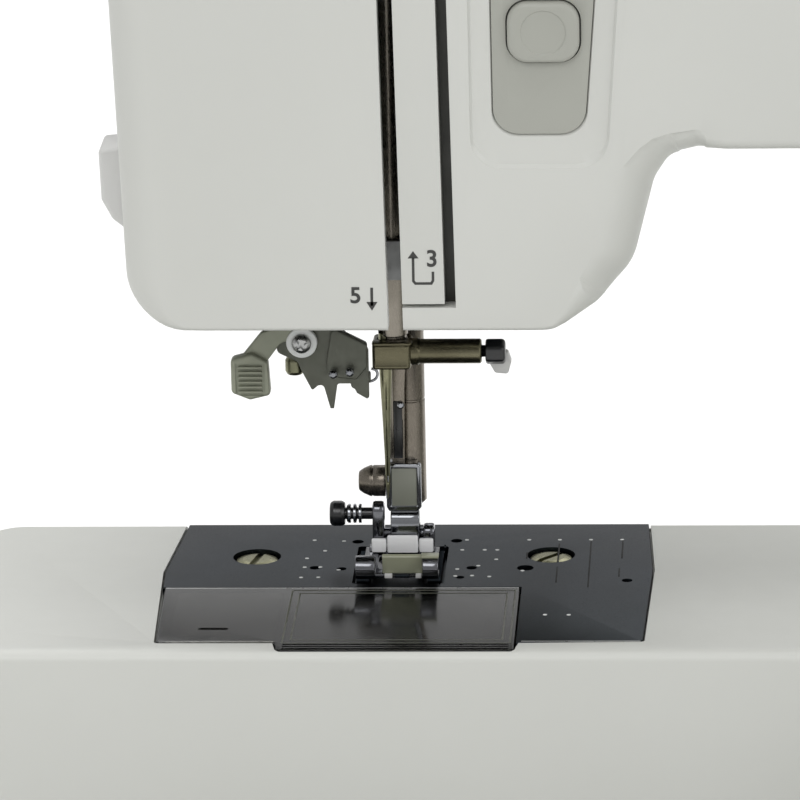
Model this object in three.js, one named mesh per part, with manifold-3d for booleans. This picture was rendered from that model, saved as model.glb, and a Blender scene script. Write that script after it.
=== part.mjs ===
// A free-arm domestic sewing machine, in millimetres, +Z up.
// Everything is laid out around the needle hole, at 0, 0, 0: X runs right, Y to the back, Z up from the bed.
// At the end the whole machine is moved so that its origin is the middle of its footprint, on the table.
import * as THREE from "three";
import { mergeVertices } from "three/addons/utils/BufferGeometryUtils.js";
import Module from "manifold-3d";

const wasm = await Module();
wasm.setup();

// ---------------------------------------------------------------- driving dimensions

const gap = 0.3; // between neighbours that touch
const wall = 2.4; // moulded covers
const far = 400; // longer than the machine, for cutting tools

const tableHeight = -80; // the table top, measured from the bed
const bed = { left: -88, right: 117.7, front: -52, back: 28, top: 0, bottom: -44 };
const base = { left: 118, right: 282, front: -98, back: 66, top: 0, bottom: -66 };
const pan = { left: -80, right: 282, top: -66.3, bottom: -77, floor: 3.5 };
const arm = { front: -30, back: 62, bottom: 95.5, top: 200, split: 14 };
const head = { bottom: 59, leftLow: -51.2, leftHigh: -55.4, right: 52.4 };
const pillar = { left: 165, right: 278, bottom: 0.3 };

const plateThickness = 1.6;
const coverThickness = 2.4;
const coverRearEdge = -12.9; // where the bobbin cover meets the needle plate
const coverRightEdge = 24.9;

const needleBar = { x: -0.4, y: 0, radius: 3, bottom: 44, top: 144, stroke: 30 };
const needle = { x: -2, y: -1, tip: 15, shank: 1.02, blade: 0.45 };
const presserBar = { x: 2.2, y: 10, radius: 3, bottom: 10, top: 141 };
const footHinge = { y: 6, z: 5.3 };
const swingPivot = { x: -0.4, z: 151 }; // the zigzag frame hangs from here
const mainShaft = { y: 0, z: 168, radius: 4.5 };
const crankRadius = needleBar.stroke / 2;
const studHeight = 114;
const lowerShaft = { y: -3.5, z: -30, radius: 3.5 };
const hook = { x: 1, y: -25.5, radius: 19, top: -5, bottom: -20 };
const motorAxis = { y: 10, z: -28 };
const timingBelt = { from: 202, to: 210, radius: 14 };
const motorBelt = { from: 258, to: 266, large: 22, small: 8 };
const takeUpPivot = { y: 26, z: 172 };
const lifterPivot = { x: 12, z: 72 };
const tensionWheel = { x: -22, y: -20, z: 189, radius: 14 };
const stitchDial = { x: 222, z: 122, radius: 23 };
const handlePivot = { y: 26.5, z: 194 };
const trough = { left: 56, right: 204, front: 20, back: 58, floor: 188 };
const handWheelEnd = 304;
const spoolHinge = { x: 186, y: -6, z: 203.6 };
const winder = { x: 238, y: 8 };
const feedLift = 2;

// ---------------------------------------------------------------- shape helpers

/** A box from its three ranges. */
function block([x0, x1], [y0, y1], [z0, z1]) {
  const geometry = new THREE.BoxGeometry(x1 - x0, y1 - y0, z1 - z0);
  return geometry.translate((x0 + x1) / 2, (y0 + y1) / 2, (z0 + z1) / 2);
}

/** Closed outline through corners [u, v, radius]; each corner with a radius is rounded by an arc. */
function outline(corners, steps = 4) {
  const at = (i) => new THREE.Vector2(...corners[(i + corners.length) % corners.length]);
  return corners.flatMap(([, , radius = 0], i) => {
    const here = at(i);
    if (!radius) return [here];
    const before = at(i - 1).sub(here).normalize();
    const after = at(i + 1).sub(here).normalize();
    const half = before.angleTo(after) / 2;
    const middle = before.clone().add(after).normalize();
    const centre = middle.multiplyScalar(radius / Math.sin(half)).add(here);
    const start = before.multiplyScalar(radius / Math.tan(half)).add(here).sub(centre);
    const end = after.multiplyScalar(radius / Math.tan(half)).add(here).sub(centre);
    const turn = Math.atan2(start.cross(end), start.dot(end));
    const arc = [];
    for (let k = 0; k <= steps; k += 1) {
      arc.push(start.clone().rotateAround(new THREE.Vector2(), (turn * k) / steps).add(centre));
    }
    return arc;
  });
}

/** Corners of a rectangle with one corner radius. */
function rectangle([u0, u1], [v0, v1], radius = 0) {
  return [[u0, v0, radius], [u1, v0, radius], [u1, v1, radius], [u0, v1, radius]];
}

// An outline is drawn in XY, XZ or YZ and pushed along the third axis.
const pushed = {
  z: new THREE.Matrix4(),
  y: new THREE.Matrix4().makeRotationX(Math.PI / 2),
  x: new THREE.Matrix4().makeBasis(
    new THREE.Vector3(0, 1, 0), new THREE.Vector3(0, 0, 1), new THREE.Vector3(1, 0, 0)),
};

/** An outline pushed along an axis from one coordinate to another. */
function prism(axis, corners, [from, to], steps) {
  const shape = new THREE.Shape(outline(corners, steps));
  const geometry = new THREE.ExtrudeGeometry(shape, { depth: to - from, bevelEnabled: false });
  geometry.applyMatrix4(pushed[axis]);
  const shift = { x: [from, 0, 0], y: [0, to, 0], z: [0, 0, from] }[axis];
  return geometry.translate(...shift);
}

/** A straight round rod along an axis. The two centre values are the other two coordinates, in order. */
function rod(axis, centre, radius, [from, to], sides = 20) {
  return turned(axis, centre, [[0, from], [radius, from], [radius, to], [0, to]], sides);
}

/** A tube: a rod with a hole. */
function tube(axis, centre, inner, outer, [from, to], sides = 20) {
  const ring = [[inner, from], [outer, from], [outer, to], [inner, to], [inner, from]];
  return turned(axis, centre, ring, sides);
}

/** A turned piece: profile points [radius, place along the axis], from low to high on the outside. */
function turned(axis, [a, b], profile, sides = 20) {
  const points = profile.map(([radius, along]) => new THREE.Vector2(radius, along));
  const geometry = new THREE.LatheGeometry(points, sides);
  if (axis === "z") return geometry.rotateX(Math.PI / 2).translate(a, b, 0);
  if (axis === "x") return geometry.rotateZ(-Math.PI / 2).translate(0, a, b);
  return geometry.translate(a, 0, b);
}

/** A three.js geometry as a manifold solid. */
function solid(geometry) {
  const open = geometry.index ? geometry.toNonIndexed() : geometry;
  const bare = new THREE.BufferGeometry().setAttribute("position", open.getAttribute("position"));
  const merged = mergeVertices(bare, 1e-4);
  return new wasm.Manifold(new wasm.Mesh({
    numProp: 3,
    vertProperties: merged.getAttribute("position").array,
    triVerts: new Uint32Array(merged.index.array),
  }));
}

/** A manifold solid as a three.js geometry. */
function geometryOf(shape) {
  const { vertProperties, triVerts } = shape.getMesh();
  const geometry = new THREE.BufferGeometry();
  geometry.setAttribute("position", new THREE.BufferAttribute(vertProperties, 3));
  geometry.setIndex(new THREE.BufferAttribute(triVerts, 1));
  return geometry;
}

const joined = (...pieces) => geometryOf(pieces.map(solid).reduce((sum, piece) => sum.add(piece)));
const cut = (body, ...tools) =>
  geometryOf(tools.map(solid).reduce((rest, tool) => rest.subtract(tool), solid(body)));
const common = (body, other) => geometryOf(solid(body).intersect(solid(other)));

/** The loop of a belt round two pulleys, as a flat ring pushed along X. */
function belt(first, firstRadius, second, secondRadius, thickness, range) {
  const loop = (extra) => {
    const r1 = firstRadius + extra;
    const r2 = secondRadius + extra;
    const along = new THREE.Vector2(second.y - first.y, second.z - first.z);
    const lean = Math.acos((r1 - r2) / along.length());
    const heading = along.angle();
    const corners = [];
    const arc = (centre, radius, start, sweep) => {
      for (let k = 0; k <= 10; k += 1) {
        const angle = start + (sweep * k) / 10;
        corners.push([centre.y + radius * Math.cos(angle), centre.z + radius * Math.sin(angle)]);
      }
    };
    arc(first, r1, heading + lean, 2 * Math.PI - 2 * lean);
    arc(second, r2, heading - lean, 2 * lean);
    return corners;
  };
  return cut(prism("x", loop(gap + thickness), range),
    prism("x", loop(gap), [range[0] - 1, range[1] + 1]));
}

// ---------------------------------------------------------------- materials

const finish = (color, roughness, metalness = 0) => new THREE.MeshStandardMaterial({ color, roughness, metalness });
const shellPlastic = () => finish(0xc8c9c4, 0.55);
const greyPlastic = () => finish(0x9b9c94, 0.5);
const oliveMetal = () => finish(0x6e7062, 0.45, 0.6);
const castAluminium = () => finish(0x9a9b9c, 0.5, 0.9);
const steel = () => finish(0x8d8a84, 0.3, 1);
const chrome = () => finish(0xd0d2d4, 0.12, 1);
const darkSteel = () => finish(0x5a5752, 0.35, 1);
const brass = () => finish(0x9a8f66, 0.35, 1);
const plateSteel = () => finish(0x44484d, 0.3, 0.8);
const smokedPlastic = () => finish(0x3a3f3c, 0.12);
const blackPlastic = () => finish(0x17181a, 0.35);
const rubber = () => finish(0x232323, 0.85);

const machine = new THREE.Group();
machine.name = "sewing_machine";

/** Adds one named sub-part to a group. */
function part(group, name, geometry, material) {
  const mesh = new THREE.Mesh(geometry, material);
  mesh.name = name;
  group.add(mesh);
}

// ---------------------------------------------------------------- base and bed

function baseAndBed() {
  const group = new THREE.Group();
  const panOutline = rectangle([pan.left, pan.right], [base.front, base.back], 14);
  const panPocket = block([base.left + 6, pan.right - 6], [base.front + 6, base.back - 6],
    [pan.bottom + pan.floor, 0]);
  part(group, "base_pan", cut(prism("z", panOutline, [pan.bottom, pan.top]), panPocket), shellPlastic());

  const feet = {
    rubber_foot_front_left: [-58, -78],
    rubber_foot_front_right: [258, -78],
    rubber_foot_rear_left: [-58, 46],
    rubber_foot_rear_right: [258, 46],
  };
  for (const [name, centre] of Object.entries(feet)) {
    const profile = [[0, tableHeight], [8, tableHeight], [9, -79], [9, pan.bottom - gap], [0, pan.bottom - gap]];
    part(group, name, turned("z", centre, profile, 16), rubber());
  }

  const baseOuter = prism("z", rectangle([base.left, base.right], [base.front, base.back], 12),
    [base.bottom, base.top]);
  const baseInner = prism("z",
    rectangle([base.left + wall, base.right - wall], [base.front + wall, base.back - wall], 9.6),
    [base.bottom - 1, base.top - wall]);
  const underPillar = block([pillar.left + 3, pillar.right - 3], [arm.front + 3, arm.back - 3], [-9, 5]);
  const armMouth = block([base.left - 1, base.left + wall + 1], [bed.front + 3, bed.back - 3], [-41, -3]);
  const socketHole = block([base.right - 4, base.right + 1], [7.6, 32.4], [-52.4, -31.6]);
  const switchHole = block([base.right - 4, base.right + 1], [-18.6, -3.4], [-52, -32]);
  part(group, "base_casing",
    cut(baseOuter, baseInner, underPillar, armMouth, socketHole, switchHole), shellPlastic());

  const freeArm = prism("z", [
    [bed.left, bed.front, 9], [bed.right, bed.front], [bed.right, bed.back], [bed.left, bed.back, 9],
  ], [bed.bottom, bed.top]);
  const armInner = block([bed.left + wall, bed.right + 1], [bed.front + wall, bed.back - wall],
    [bed.bottom + wall, bed.top - wall]);
  const seat = prism("z", plateOutline(gap), [-plateThickness - gap, 1]);
  const well = prism("z", coverOutline(gap), [-coverThickness - gap, 1]);
  const mouth = block([-43, 47], [-44, bed.back - wall], [-10, 1]);
  part(group, "free_arm_casing", cut(freeArm, armInner, seat, well, mouth), shellPlastic());
  return group;
}

// ---------------------------------------------------------------- needle plate and bobbin cover

/** The dark zone in the bed, needle plate and bobbin cover together, grown by a margin. */
function plateOutline(margin) {
  return [
    [-45.3 - margin, 27.4 + 2 * margin], [-47.7 - margin, -2.9], [-45.8 - margin, -46 - margin, 1],
    [-22.4 - margin, -46 - margin], [-21.6 - margin, -50.4 - margin, 1.2],
    [24.6 + margin, -50.4 - margin, 1.2], [25.4 + margin, -46 - margin],
    [50.1 + margin, -45.4 - margin, 1], [51.5 + margin, -2.2], [50.2 + margin, 27.4 + 2 * margin],
  ];
}

/** The bobbin cover alone, grown by a margin. */
function coverOutline(margin) {
  return [
    [-46.9 - margin, coverRearEdge + margin], [-45.8 - margin, -46 - margin, 1],
    [-22.4 - margin, -46 - margin], [-21.6 - margin, -50.4 - margin, 1.2],
    [coverRightEdge + margin, -50.4 - margin, 1.2], [coverRightEdge + margin, coverRearEdge + margin],
  ];
}

function needlePlateGroup() {
  const group = new THREE.Group();
  const through = [-plateThickness - 1, 1];
  const screws = { needle_plate_screw_left: [-29.6, 6.5], needle_plate_screw_right: [30.5, 7.4] };
  const sheet = prism("z", plateOutline(0), [-plateThickness, 0]);
  const smallHoles = [
    [10.8, 16.5, 1.2], [-9.5, 16, 1.2], [14.6, -0.7, 1.1], [25.5, -0.8, 1.7],
    [12.5, -6.6, 0.9], [-17.3, -0.5, 1.1], [-11.8, -1.2, 1], [46.3, -8.7, 1.1],
  ];
  part(group, "needle_plate", cut(sheet,
    prism("z", coverOutline(gap), through),
    block([-9.2, -5], [-10.5, 13], through),
    block([5.2, 9.4], [-10.5, 13], through),
    block([-4, 4.4], [4.4, 13], through),
    prism("z", rectangle([-4, 4.4], [-2.4, 1.2], 1.2), through),
    ...Object.values(screws).map((centre) => rod("z", centre, 4.9, through, 24)),
    ...smallHoles.map(([x, y, radius]) => rod("z", [x, y], radius, through, 10)),
  ), plateSteel());

  for (const [name, [x, y]] of Object.entries(screws)) {
    const body = turned("z", [x, y], [[0, -8.5], [2, -8.5], [2, -1.4], [4.4, -1.4], [4.4, -0.5], [0, -0.5]], 20);
    const slot = block([x - 0.7, x + 0.7], [y - 6, y + 6], [-0.95, 1]);
    part(group, name, cut(body, slot), brass());
  }

  const lid = prism("z", coverOutline(0), [-coverThickness, 0]);
  const thinning = block([-20, 22.5], [-47, -16], [-coverThickness - 1, -1.2]);
  part(group, "bobbin_cover", cut(lid, thinning), smokedPlastic());
  return group;
}

// ---------------------------------------------------------------- casing of the head, arm and pillar

/** Front view of the whole upper casing, drawn in XZ and drawn in by a wall thickness. */
function upperOutline(inset) {
  const top = arm.top - inset;
  const leftAt = (z) => THREE.MathUtils.mapLinear(z, 68, arm.top, head.leftLow, head.leftHigh) + inset;
  return [
    [leftAt(head.bottom), head.bottom + inset, 11 - inset],
    [head.right - 12 - inset, head.bottom + inset, 18 - inset],
    [head.right - inset, arm.bottom - 8, 6],
    [head.right + 3 - inset, arm.bottom + inset, 4],
    [pillar.left + inset, arm.bottom + inset, 18 + inset],
    [pillar.left + inset, pillar.bottom - 2 * inset],
    [pillar.right - inset, pillar.bottom - 2 * inset],
    [pillar.right - inset, top, 14 - inset],
    [leftAt(top), top, 16 - inset],
  ];
}

/** Left edge of a vertical thread slot at a height: the slots lean a little to the left going up. */
const slotX = (atBed, z) => atBed - 0.014 * (z - head.bottom);

function slotCut([low, high], [left, right], [from, to]) {
  const corners = [
    [slotX(left, low), low], [slotX(right, low), low], [slotX(right, high), high], [slotX(left, high), high],
  ];
  return prism("y", corners, [from, to]);
}

/** Outline of the control panel opening, drawn in by a margin; it widens towards the top. */
function panelOutline(margin) {
  return [
    [21.2 + margin, 171 - margin, 5], [21.6 + margin, 98.4 + margin, 5],
    [39.4 - margin, 98.4 + margin, 5], [45 - margin, 171 - margin, 5],
  ];
}

function casing() {
  const group = new THREE.Group();
  const outer = prism("y", upperOutline(0), [arm.front, arm.back]);
  const inner = cut(
    prism("y", upperOutline(wall), [arm.front + wall, arm.back - wall]),
    block([trough.left - wall, trough.right + wall], [trough.front - wall, trough.back + wall],
      [trough.floor - wall, far]),
  );
  const shell = cut(outer, inner,
    block([trough.left, trough.right], [trough.front, trough.back], [trough.floor, far]),
    block([-36, 27], [arm.front + 5, arm.back - 8], [head.bottom - 1, head.bottom + wall + 1]),
    block([-far, -48], [-12.4, 48.4], [95.6, 186.4]),
    rod("x", [mainShaft.y, mainShaft.z], 7, [pillar.right - 5, pillar.right + 1], 24),
    rod("x", [handlePivot.y, handlePivot.z], 2.9, [trough.left - 5, trough.left + 1], 12),
    rod("x", [handlePivot.y, handlePivot.z], 2.9, [trough.right - 1, trough.right + 5], 12),
  );
  const frontHalf = block([-far, far], [-far, arm.split], [-far, far]);
  const rearHalf = block([-far, far], [arm.split + gap, far], [-far, far]);

  const throughWall = [arm.front - 1, arm.front + wall + 1];
  const threadSlots = [
    slotCut([head.bottom - 1, 193], [0.4, 3.4], [arm.front - 10, arm.front + wall + 1]),
    slotCut([63.6, 64.5], [0.4, 13.9], throughWall),
    slotCut([63.6, arm.top + 1], [11.7, 13.9], [arm.front - 1, arm.front + 14]),
  ];
  part(group, "front_cover", cut(common(shell, frontHalf), ...threadSlots,
    prism("y", panelOutline(0), throughWall),
    prism("y", panelOutline(-2.8), [arm.front - 1, arm.front + 1.1]),
    block([tensionWheel.x - 4.6, tensionWheel.x + 4.6], [-far, -5], [174, far]),
    rod("y", [stitchDial.x, stitchDial.z], 4.6, throughWall, 16),
    rod("z", [winder.x, winder.y], 4, [arm.top - 5, arm.top + 1], 12),
  ), shellPlastic());
  part(group, "rear_cover", cut(common(shell, rearHalf),
    rod("y", [lifterPivot.x, lifterPivot.z], 4.6, [arm.back - 5, arm.back + 1], 16),
  ), shellPlastic());

  const faceAt = (z) => THREE.MathUtils.mapLinear(z, 68, arm.top, head.leftLow, head.leftHigh) - 0.9;
  const face = [[faceAt(96), 96], [faceAt(96) + 2.6, 96], [faceAt(186) + 2.6, 186], [faceAt(186), 186]];
  part(group, "face_cover", prism("y", face, [-12, 48]), shellPlastic());
  const cutter = [[-57.9, 89.9], [-57.2, 79.5], [-55.5, 75.5], [-51.9, 72.6], [-52.5, 90.4]];
  part(group, "thread_cutter", prism("y", cutter, [-7, 5]), greyPlastic());

  const guide = joined(
    block([54, 66], [-14, 2], [arm.top + gap, 202]),
    block([54, 57], [-14, 2], [201, 207]),
    block([54, 66], [-14, -11], [201, 207]),
  );
  part(group, "top_thread_guide", guide, greyPlastic());
  return group;
}

function controls() {
  const group = new THREE.Group();
  const panelRange = [arm.front + 1.2, arm.front + 3];
  const through = [arm.front - 1, arm.front + 8];
  const buttons = { start_button: 119, reverse_button: 138 };
  const buttonShape = (z, grow) =>
    rectangle([24.6 - grow, 38.6 + grow], [z - 6 - grow, z + 6 + grow], 4);
  part(group, "control_panel", cut(prism("y", panelOutline(gap), panelRange),
    ...Object.values(buttons).map((z) => prism("y", buttonShape(z, gap), through)),
    block([23.6, 40.4], [arm.front - 1, arm.front + 8], [156.6, 159.4]),
  ), greyPlastic());
  for (const [name, z] of Object.entries(buttons)) {
    const cap = prism("y", buttonShape(z, 0), [arm.front - 0.6, arm.front + 5]);
    part(group, name, cap, greyPlastic());
  }
  part(group, "speed_slider", joined(
    prism("y", rectangle([29, 35], [154, 162], 1.5), [arm.front - 1.6, arm.front + 0.9]),
    block([31, 33], [arm.front, arm.front + 6], [157, 159]),
  ), greyPlastic());

  const dialProfile = [
    [0, arm.front - 9], [15, arm.front - 9], [16, arm.front - 8], [17, arm.front - 3],
    [stitchDial.radius, arm.front - 2.4], [stitchDial.radius, arm.front - gap], [4, arm.front - gap],
    [4, arm.front + 4.4], [0, arm.front + 4.4],
  ];
  part(group, "stitch_dial", turned("y", [stitchDial.x, stitchDial.z], dialProfile, 28), greyPlastic());
  const tension = rod("x", [tensionWheel.y, tensionWheel.z], tensionWheel.radius,
    [tensionWheel.x - 4, tensionWheel.x + 4], 28);
  part(group, "tension_dial", tension, greyPlastic());
  part(group, "circuit_board", block([214, 270], [-25.2, -23.6], [30, 138]), finish(0x2c5a3a, 0.5));

  const rocker = prism("y", rectangle([275.5, 283.2], [-50.5, -33.5], 1.2), [-18, -4]);
  part(group, "power_switch", rocker, blackPlastic());
  const socket = cut(
    block([266, 281.6], [8, 32], [-52, -32]),
    block([270, 283], [11, 29], [-49, -35]),
  );
  const pins = [16, 24].map((y) => rod("x", [y, -42], 1.2, [269.5, 278], 10));
  part(group, "inlet_socket", joined(socket, ...pins), blackPlastic());
  return group;
}

function topFittings() {
  const group = new THREE.Group();
  const sideArm = (from) => block([from, from + 8], [handlePivot.y - 4, 54], [190, 198]);
  const pin = (range) => rod("x", [handlePivot.y, handlePivot.z], 2.5, range, 12);
  part(group, "carry_handle", joined(
    block([trough.left + 4, trough.right - 4], [46, 54], [190, 198]),
    sideArm(trough.left + 4), sideArm(trough.right - 12),
    pin([trough.left - 3, trough.left + 5]), pin([trough.right - 5, trough.right + 3]),
  ), greyPlastic());
  part(group, "spool_pin", joined(
    rod("x", [spoolHinge.y, spoolHinge.z], 2.6, [124, spoolHinge.x - 3], 12),
    rod("y", [spoolHinge.x, spoolHinge.z], 3.2, [spoolHinge.y - 6, spoolHinge.y + 6], 16),
  ), greyPlastic());
  part(group, "winder_spindle", turned("z", [winder.x, winder.y], [
    [0, 186], [2.5, 186], [2.5, 200.4], [8, 200.4], [8, 201.8], [3, 202.4], [2.6, 211], [1.6, 212], [0, 212],
  ], 16), blackPlastic());
  return group;
}

// ---------------------------------------------------------------- frame and drive

function frameAndDrive() {
  const group = new THREE.Group();
  const column = [170, 198];
  const bearing = (radius, shaft, range) => rod("x", [shaft.y, shaft.z], radius, range, 16);
  const plateScrewPost = (x) => block([x - 5.5, x + 5.5], [1, 16], [-22, -plateThickness - gap - 0.1]);
  const body = joined(
    block(column, [-12, 44], [-60, 184]),
    block([-36, 198], [24, 44], [112, 150]),
    block([28, 36], [-8, 44], [148, 184]),
    block([-30, 24], [22, 30], [62, 160]),
    block([-5, 9.4], [6, 23], [128, 136]),
    block([-5, 9.4], [6, 23], [66, 74]),
    block([-44, 171], [14.6, 24], [-22, -4]),
    block([12, 30], [-10, 16], [-38, -22]),
    plateScrewPost(-29.6), plateScrewPost(30.5),
    block([165, 240], [-12, 44], [-62, -56]),
  );
  part(group, "cast_frame", cut(body,
    bearing(mainShaft.radius + 0.4, mainShaft, [20, 205]),
    bearing(lowerShaft.radius + 0.4, lowerShaft, [0, 205]),
    bearing(2.9, takeUpPivot, [20, 40]),
    rod("z", [presserBar.x, presserBar.y], presserBar.radius + 0.3, [60, 140], 20),
    rod("y", [swingPivot.x, swingPivot.z], 2.9, [20, 32], 16),
    rod("y", [lifterPivot.x, lifterPivot.z], 2.9, [20, 32], 16),
    block([-2, 6.4], [20, 32], [80.5, 93]),
    rod("z", [-29.6, 6.5], 2.4, [-9, 1], 12),
    rod("z", [30.5, 7.4], 2.4, [-9, 1], 12),
  ), castAluminium());

  const shaftAxis = [mainShaft.y, mainShaft.z];
  part(group, "main_shaft", turned("x", shaftAxis, [
    [0, 20], [mainShaft.radius, 20],
    [mainShaft.radius, timingBelt.from], [timingBelt.radius, timingBelt.from],
    [timingBelt.radius, timingBelt.to], [mainShaft.radius, timingBelt.to],
    [mainShaft.radius, motorBelt.from], [motorBelt.large, motorBelt.from],
    [motorBelt.large, motorBelt.to], [mainShaft.radius, motorBelt.to],
    [mainShaft.radius, 292], [0, 292],
  ], 24), steel());
  part(group, "needle_crank", joined(
    rod("x", shaftAxis, 19, [14, 19.7], 28),
    rod("x", [mainShaft.y, mainShaft.z + crankRadius], 2.2, [8.5, 15], 12),
  ), darkSteel());
  part(group, "hand_wheel", turned("x", shaftAxis, [
    [4.9, 293], [4.9, 279], [9, 279], [9, 283], [26, 284], [31, 286], [33, 290], [33, 298],
    [30, handWheelEnd - 1], [27, handWheelEnd], [22, 301], [12, 300], [0, 300], [0, 293], [4.9, 293],
  ], 32), shellPlastic());

  part(group, "lower_shaft", turned("x", [lowerShaft.y, lowerShaft.z], [
    [0, -8], [lowerShaft.radius, -8], [lowerShaft.radius, -4], [9.5, -4], [9.5, 6], [lowerShaft.radius, 6],
    [lowerShaft.radius, timingBelt.from], [timingBelt.radius, timingBelt.from],
    [timingBelt.radius, timingBelt.to], [0, timingBelt.to],
  ], 24), steel());
  part(group, "drive_belt", belt(mainShaft, timingBelt.radius, lowerShaft, timingBelt.radius, 1.2,
    [timingBelt.from, timingBelt.to]), rubber());
  part(group, "motor_belt", belt(mainShaft, motorBelt.large, motorAxis, motorBelt.small, 1.4,
    [motorBelt.from + 0.5, motorBelt.to - 0.5]), rubber());
  part(group, "motor", turned("x", [motorAxis.y, motorAxis.z], [
    [0, 216], [22, 216], [24, 218], [24, 250], [22, 252], [8, 252], [8, 255], [3.4, 255], [3.4, 253], [0, 253],
  ], 24), darkSteel());
  part(group, "motor_pulley", turned("x", [motorAxis.y, motorAxis.z], [
    [0, 254], [2.6, 254], [2.6, motorBelt.from], [motorBelt.small, motorBelt.from],
    [motorBelt.small, motorBelt.to], [0, motorBelt.to],
  ], 20), blackPlastic());

  const hookAxis = [hook.x, hook.y];
  part(group, "rotary_hook", turned("z", hookAxis, [
    [0, -36], [12, -36], [12, -24], [5, -24], [5, hook.bottom], [hook.radius, hook.bottom],
    [hook.radius, hook.top], [17.4, hook.top], [17.4, -18.8], [0, -18.8],
  ], 28), steel());
  part(group, "bobbin_case", turned("z", hookAxis, [
    [0, -18.4], [17, -18.4], [17, -5.4], [11.4, -5.4], [11.4, -17.2], [0, -17.2],
  ], 28), blackPlastic());
  part(group, "bobbin", turned("z", hookAxis, [
    [3, -16.8], [10.2, -16.8], [10.2, -15.8], [4.2, -15.6], [4.2, -6.8], [10.2, -6.6], [10.2, -5.6],
    [3, -5.6], [3, -16.8],
  ], 24), finish(0xd8dcdc, 0.15));
  return group;
}

// ---------------------------------------------------------------- needle bar, threader and take-up

function needleMechanism() {
  const group = new THREE.Group();
  const barAxis = [needleBar.x, needleBar.y];
  const threaderRod = [-18, -1];
  part(group, "needle_bar_frame", cut(joined(
    block([-12, -7], [-4, 4], [62, 154]),
    block([-22, 4.6], [-4.5, 4.5], [62, 70]),
    block([-12, 4.6], [-4.5, 4.5], [122, 130]),
    block([-12, 4.6], [-4.5, 4.5], [146.5, 155.5]),
    rod("y", [swingPivot.x, swingPivot.z], 2.5, [4, 29], 16),
  ),
  rod("z", barAxis, needleBar.radius + 0.3, [60, 132], 20),
  rod("z", threaderRod, 2.3, [60, 72], 14)), castAluminium());

  part(group, "needle_bar", cut(joined(
    rod("z", barAxis, needleBar.radius, [needleBar.bottom, needleBar.top], 20),
    rod("x", [needleBar.y, studHeight], 2, [needleBar.x, 9], 12),
  ), rod("z", [needle.x, needle.y], 1.35, [needleBar.bottom - 1, 52], 12)), steel());
  part(group, "connecting_link", cut(joined(
    block([6, 8], [-1.6, 1.6], [studHeight, mainShaft.z + crankRadius]),
    rod("x", [0, studHeight], 3.5, [6, 8], 16),
    rod("x", [0, mainShaft.z + crankRadius], 3.5, [6, 8], 16),
  ),
  rod("x", [0, studHeight], 2.3, [5, 9], 12),
  rod("x", [0, mainShaft.z + crankRadius], 2.3, [5, 9], 12)), steel());

  part(group, "needle_clamp", cut(joined(
    block([-4.5, 3.4], [-4.6, 3.9], [43.7, 48.4]),
    rod("x", [-1, 46.4], 2.5, [3, 17.4], 16),
  ),
  rod("z", barAxis, needleBar.radius + 0.3, [40, 52], 20),
  rod("x", [-1, 46.4], 1.5, [9, 18], 12)), brass());
  part(group, "needle_clamp_screw", joined(
    rod("x", [-1, 46.4], 1.2, [9.4, 19], 12),
    rod("x", [-1, 46.4], 2.5, [18.2, 22.2], 18),
  ), blackPlastic());
  part(group, "needle", turned("z", [needle.x, needle.y], [
    [0, needle.tip], [needle.blade, needle.tip + 3], [needle.blade, 33], [needle.shank, 36],
    [needle.shank, 50], [0, 50],
  ], 12), chrome());

  const leverPlate = prism("x", [
    [takeUpPivot.y + 4, takeUpPivot.z - 3, 2], [takeUpPivot.y + 4, takeUpPivot.z + 4, 2],
    [-32, 193, 1], [-37, 189, 1.5], [-32, 185, 1], [takeUpPivot.y - 10, takeUpPivot.z - 4],
  ], [-0.7, 0.7]);
  part(group, "take_up_lever", joined(leverPlate,
    rod("x", [takeUpPivot.y, takeUpPivot.z], 2.5, [-0.7, 34], 16)), chrome());

  part(group, "threader_bracket", joined(
    prism("y", [
      [-23.5, 43, 1], [-14, 40.5], [-12.9, 35.5], [-11.6, 41], [-8.4, 41], [-5.4, 37.2], [-5.2, 47.6, 1],
      [-13, 53.6, 1], [-23.5, 53.6, 1],
    ], [-6, -3.4]),
    block([-20.5, -15.5], [-4, 1.4], [50, 54]),
    rod("z", threaderRod, 2, [51, 112], 14),
  ), oliveMetal());
  part(group, "threader_screw", joined(
    rod("y", [-18.4, 49.5], 3.1, [-7.6, -6.3], 20),
    rod("y", [-18.4, 49.5], 2, [-9.4, -7], 14),
  ), chrome());
  part(group, "threader_lever", joined(
    prism("y", [[-32.7, 39.4, 1], [-24.8, 38.4, 1], [-25.2, 46.6], [-24, 50.4, 1], [-28.8, 50.4, 1],
      [-32.7, 46.8, 1]], [-7.6, -4]),
    block([-28, -23.9], [-6, -3.6], [47, 51.6]),
  ), oliveMetal());
  return group;
}

// ---------------------------------------------------------------- presser bar and foot

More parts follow.
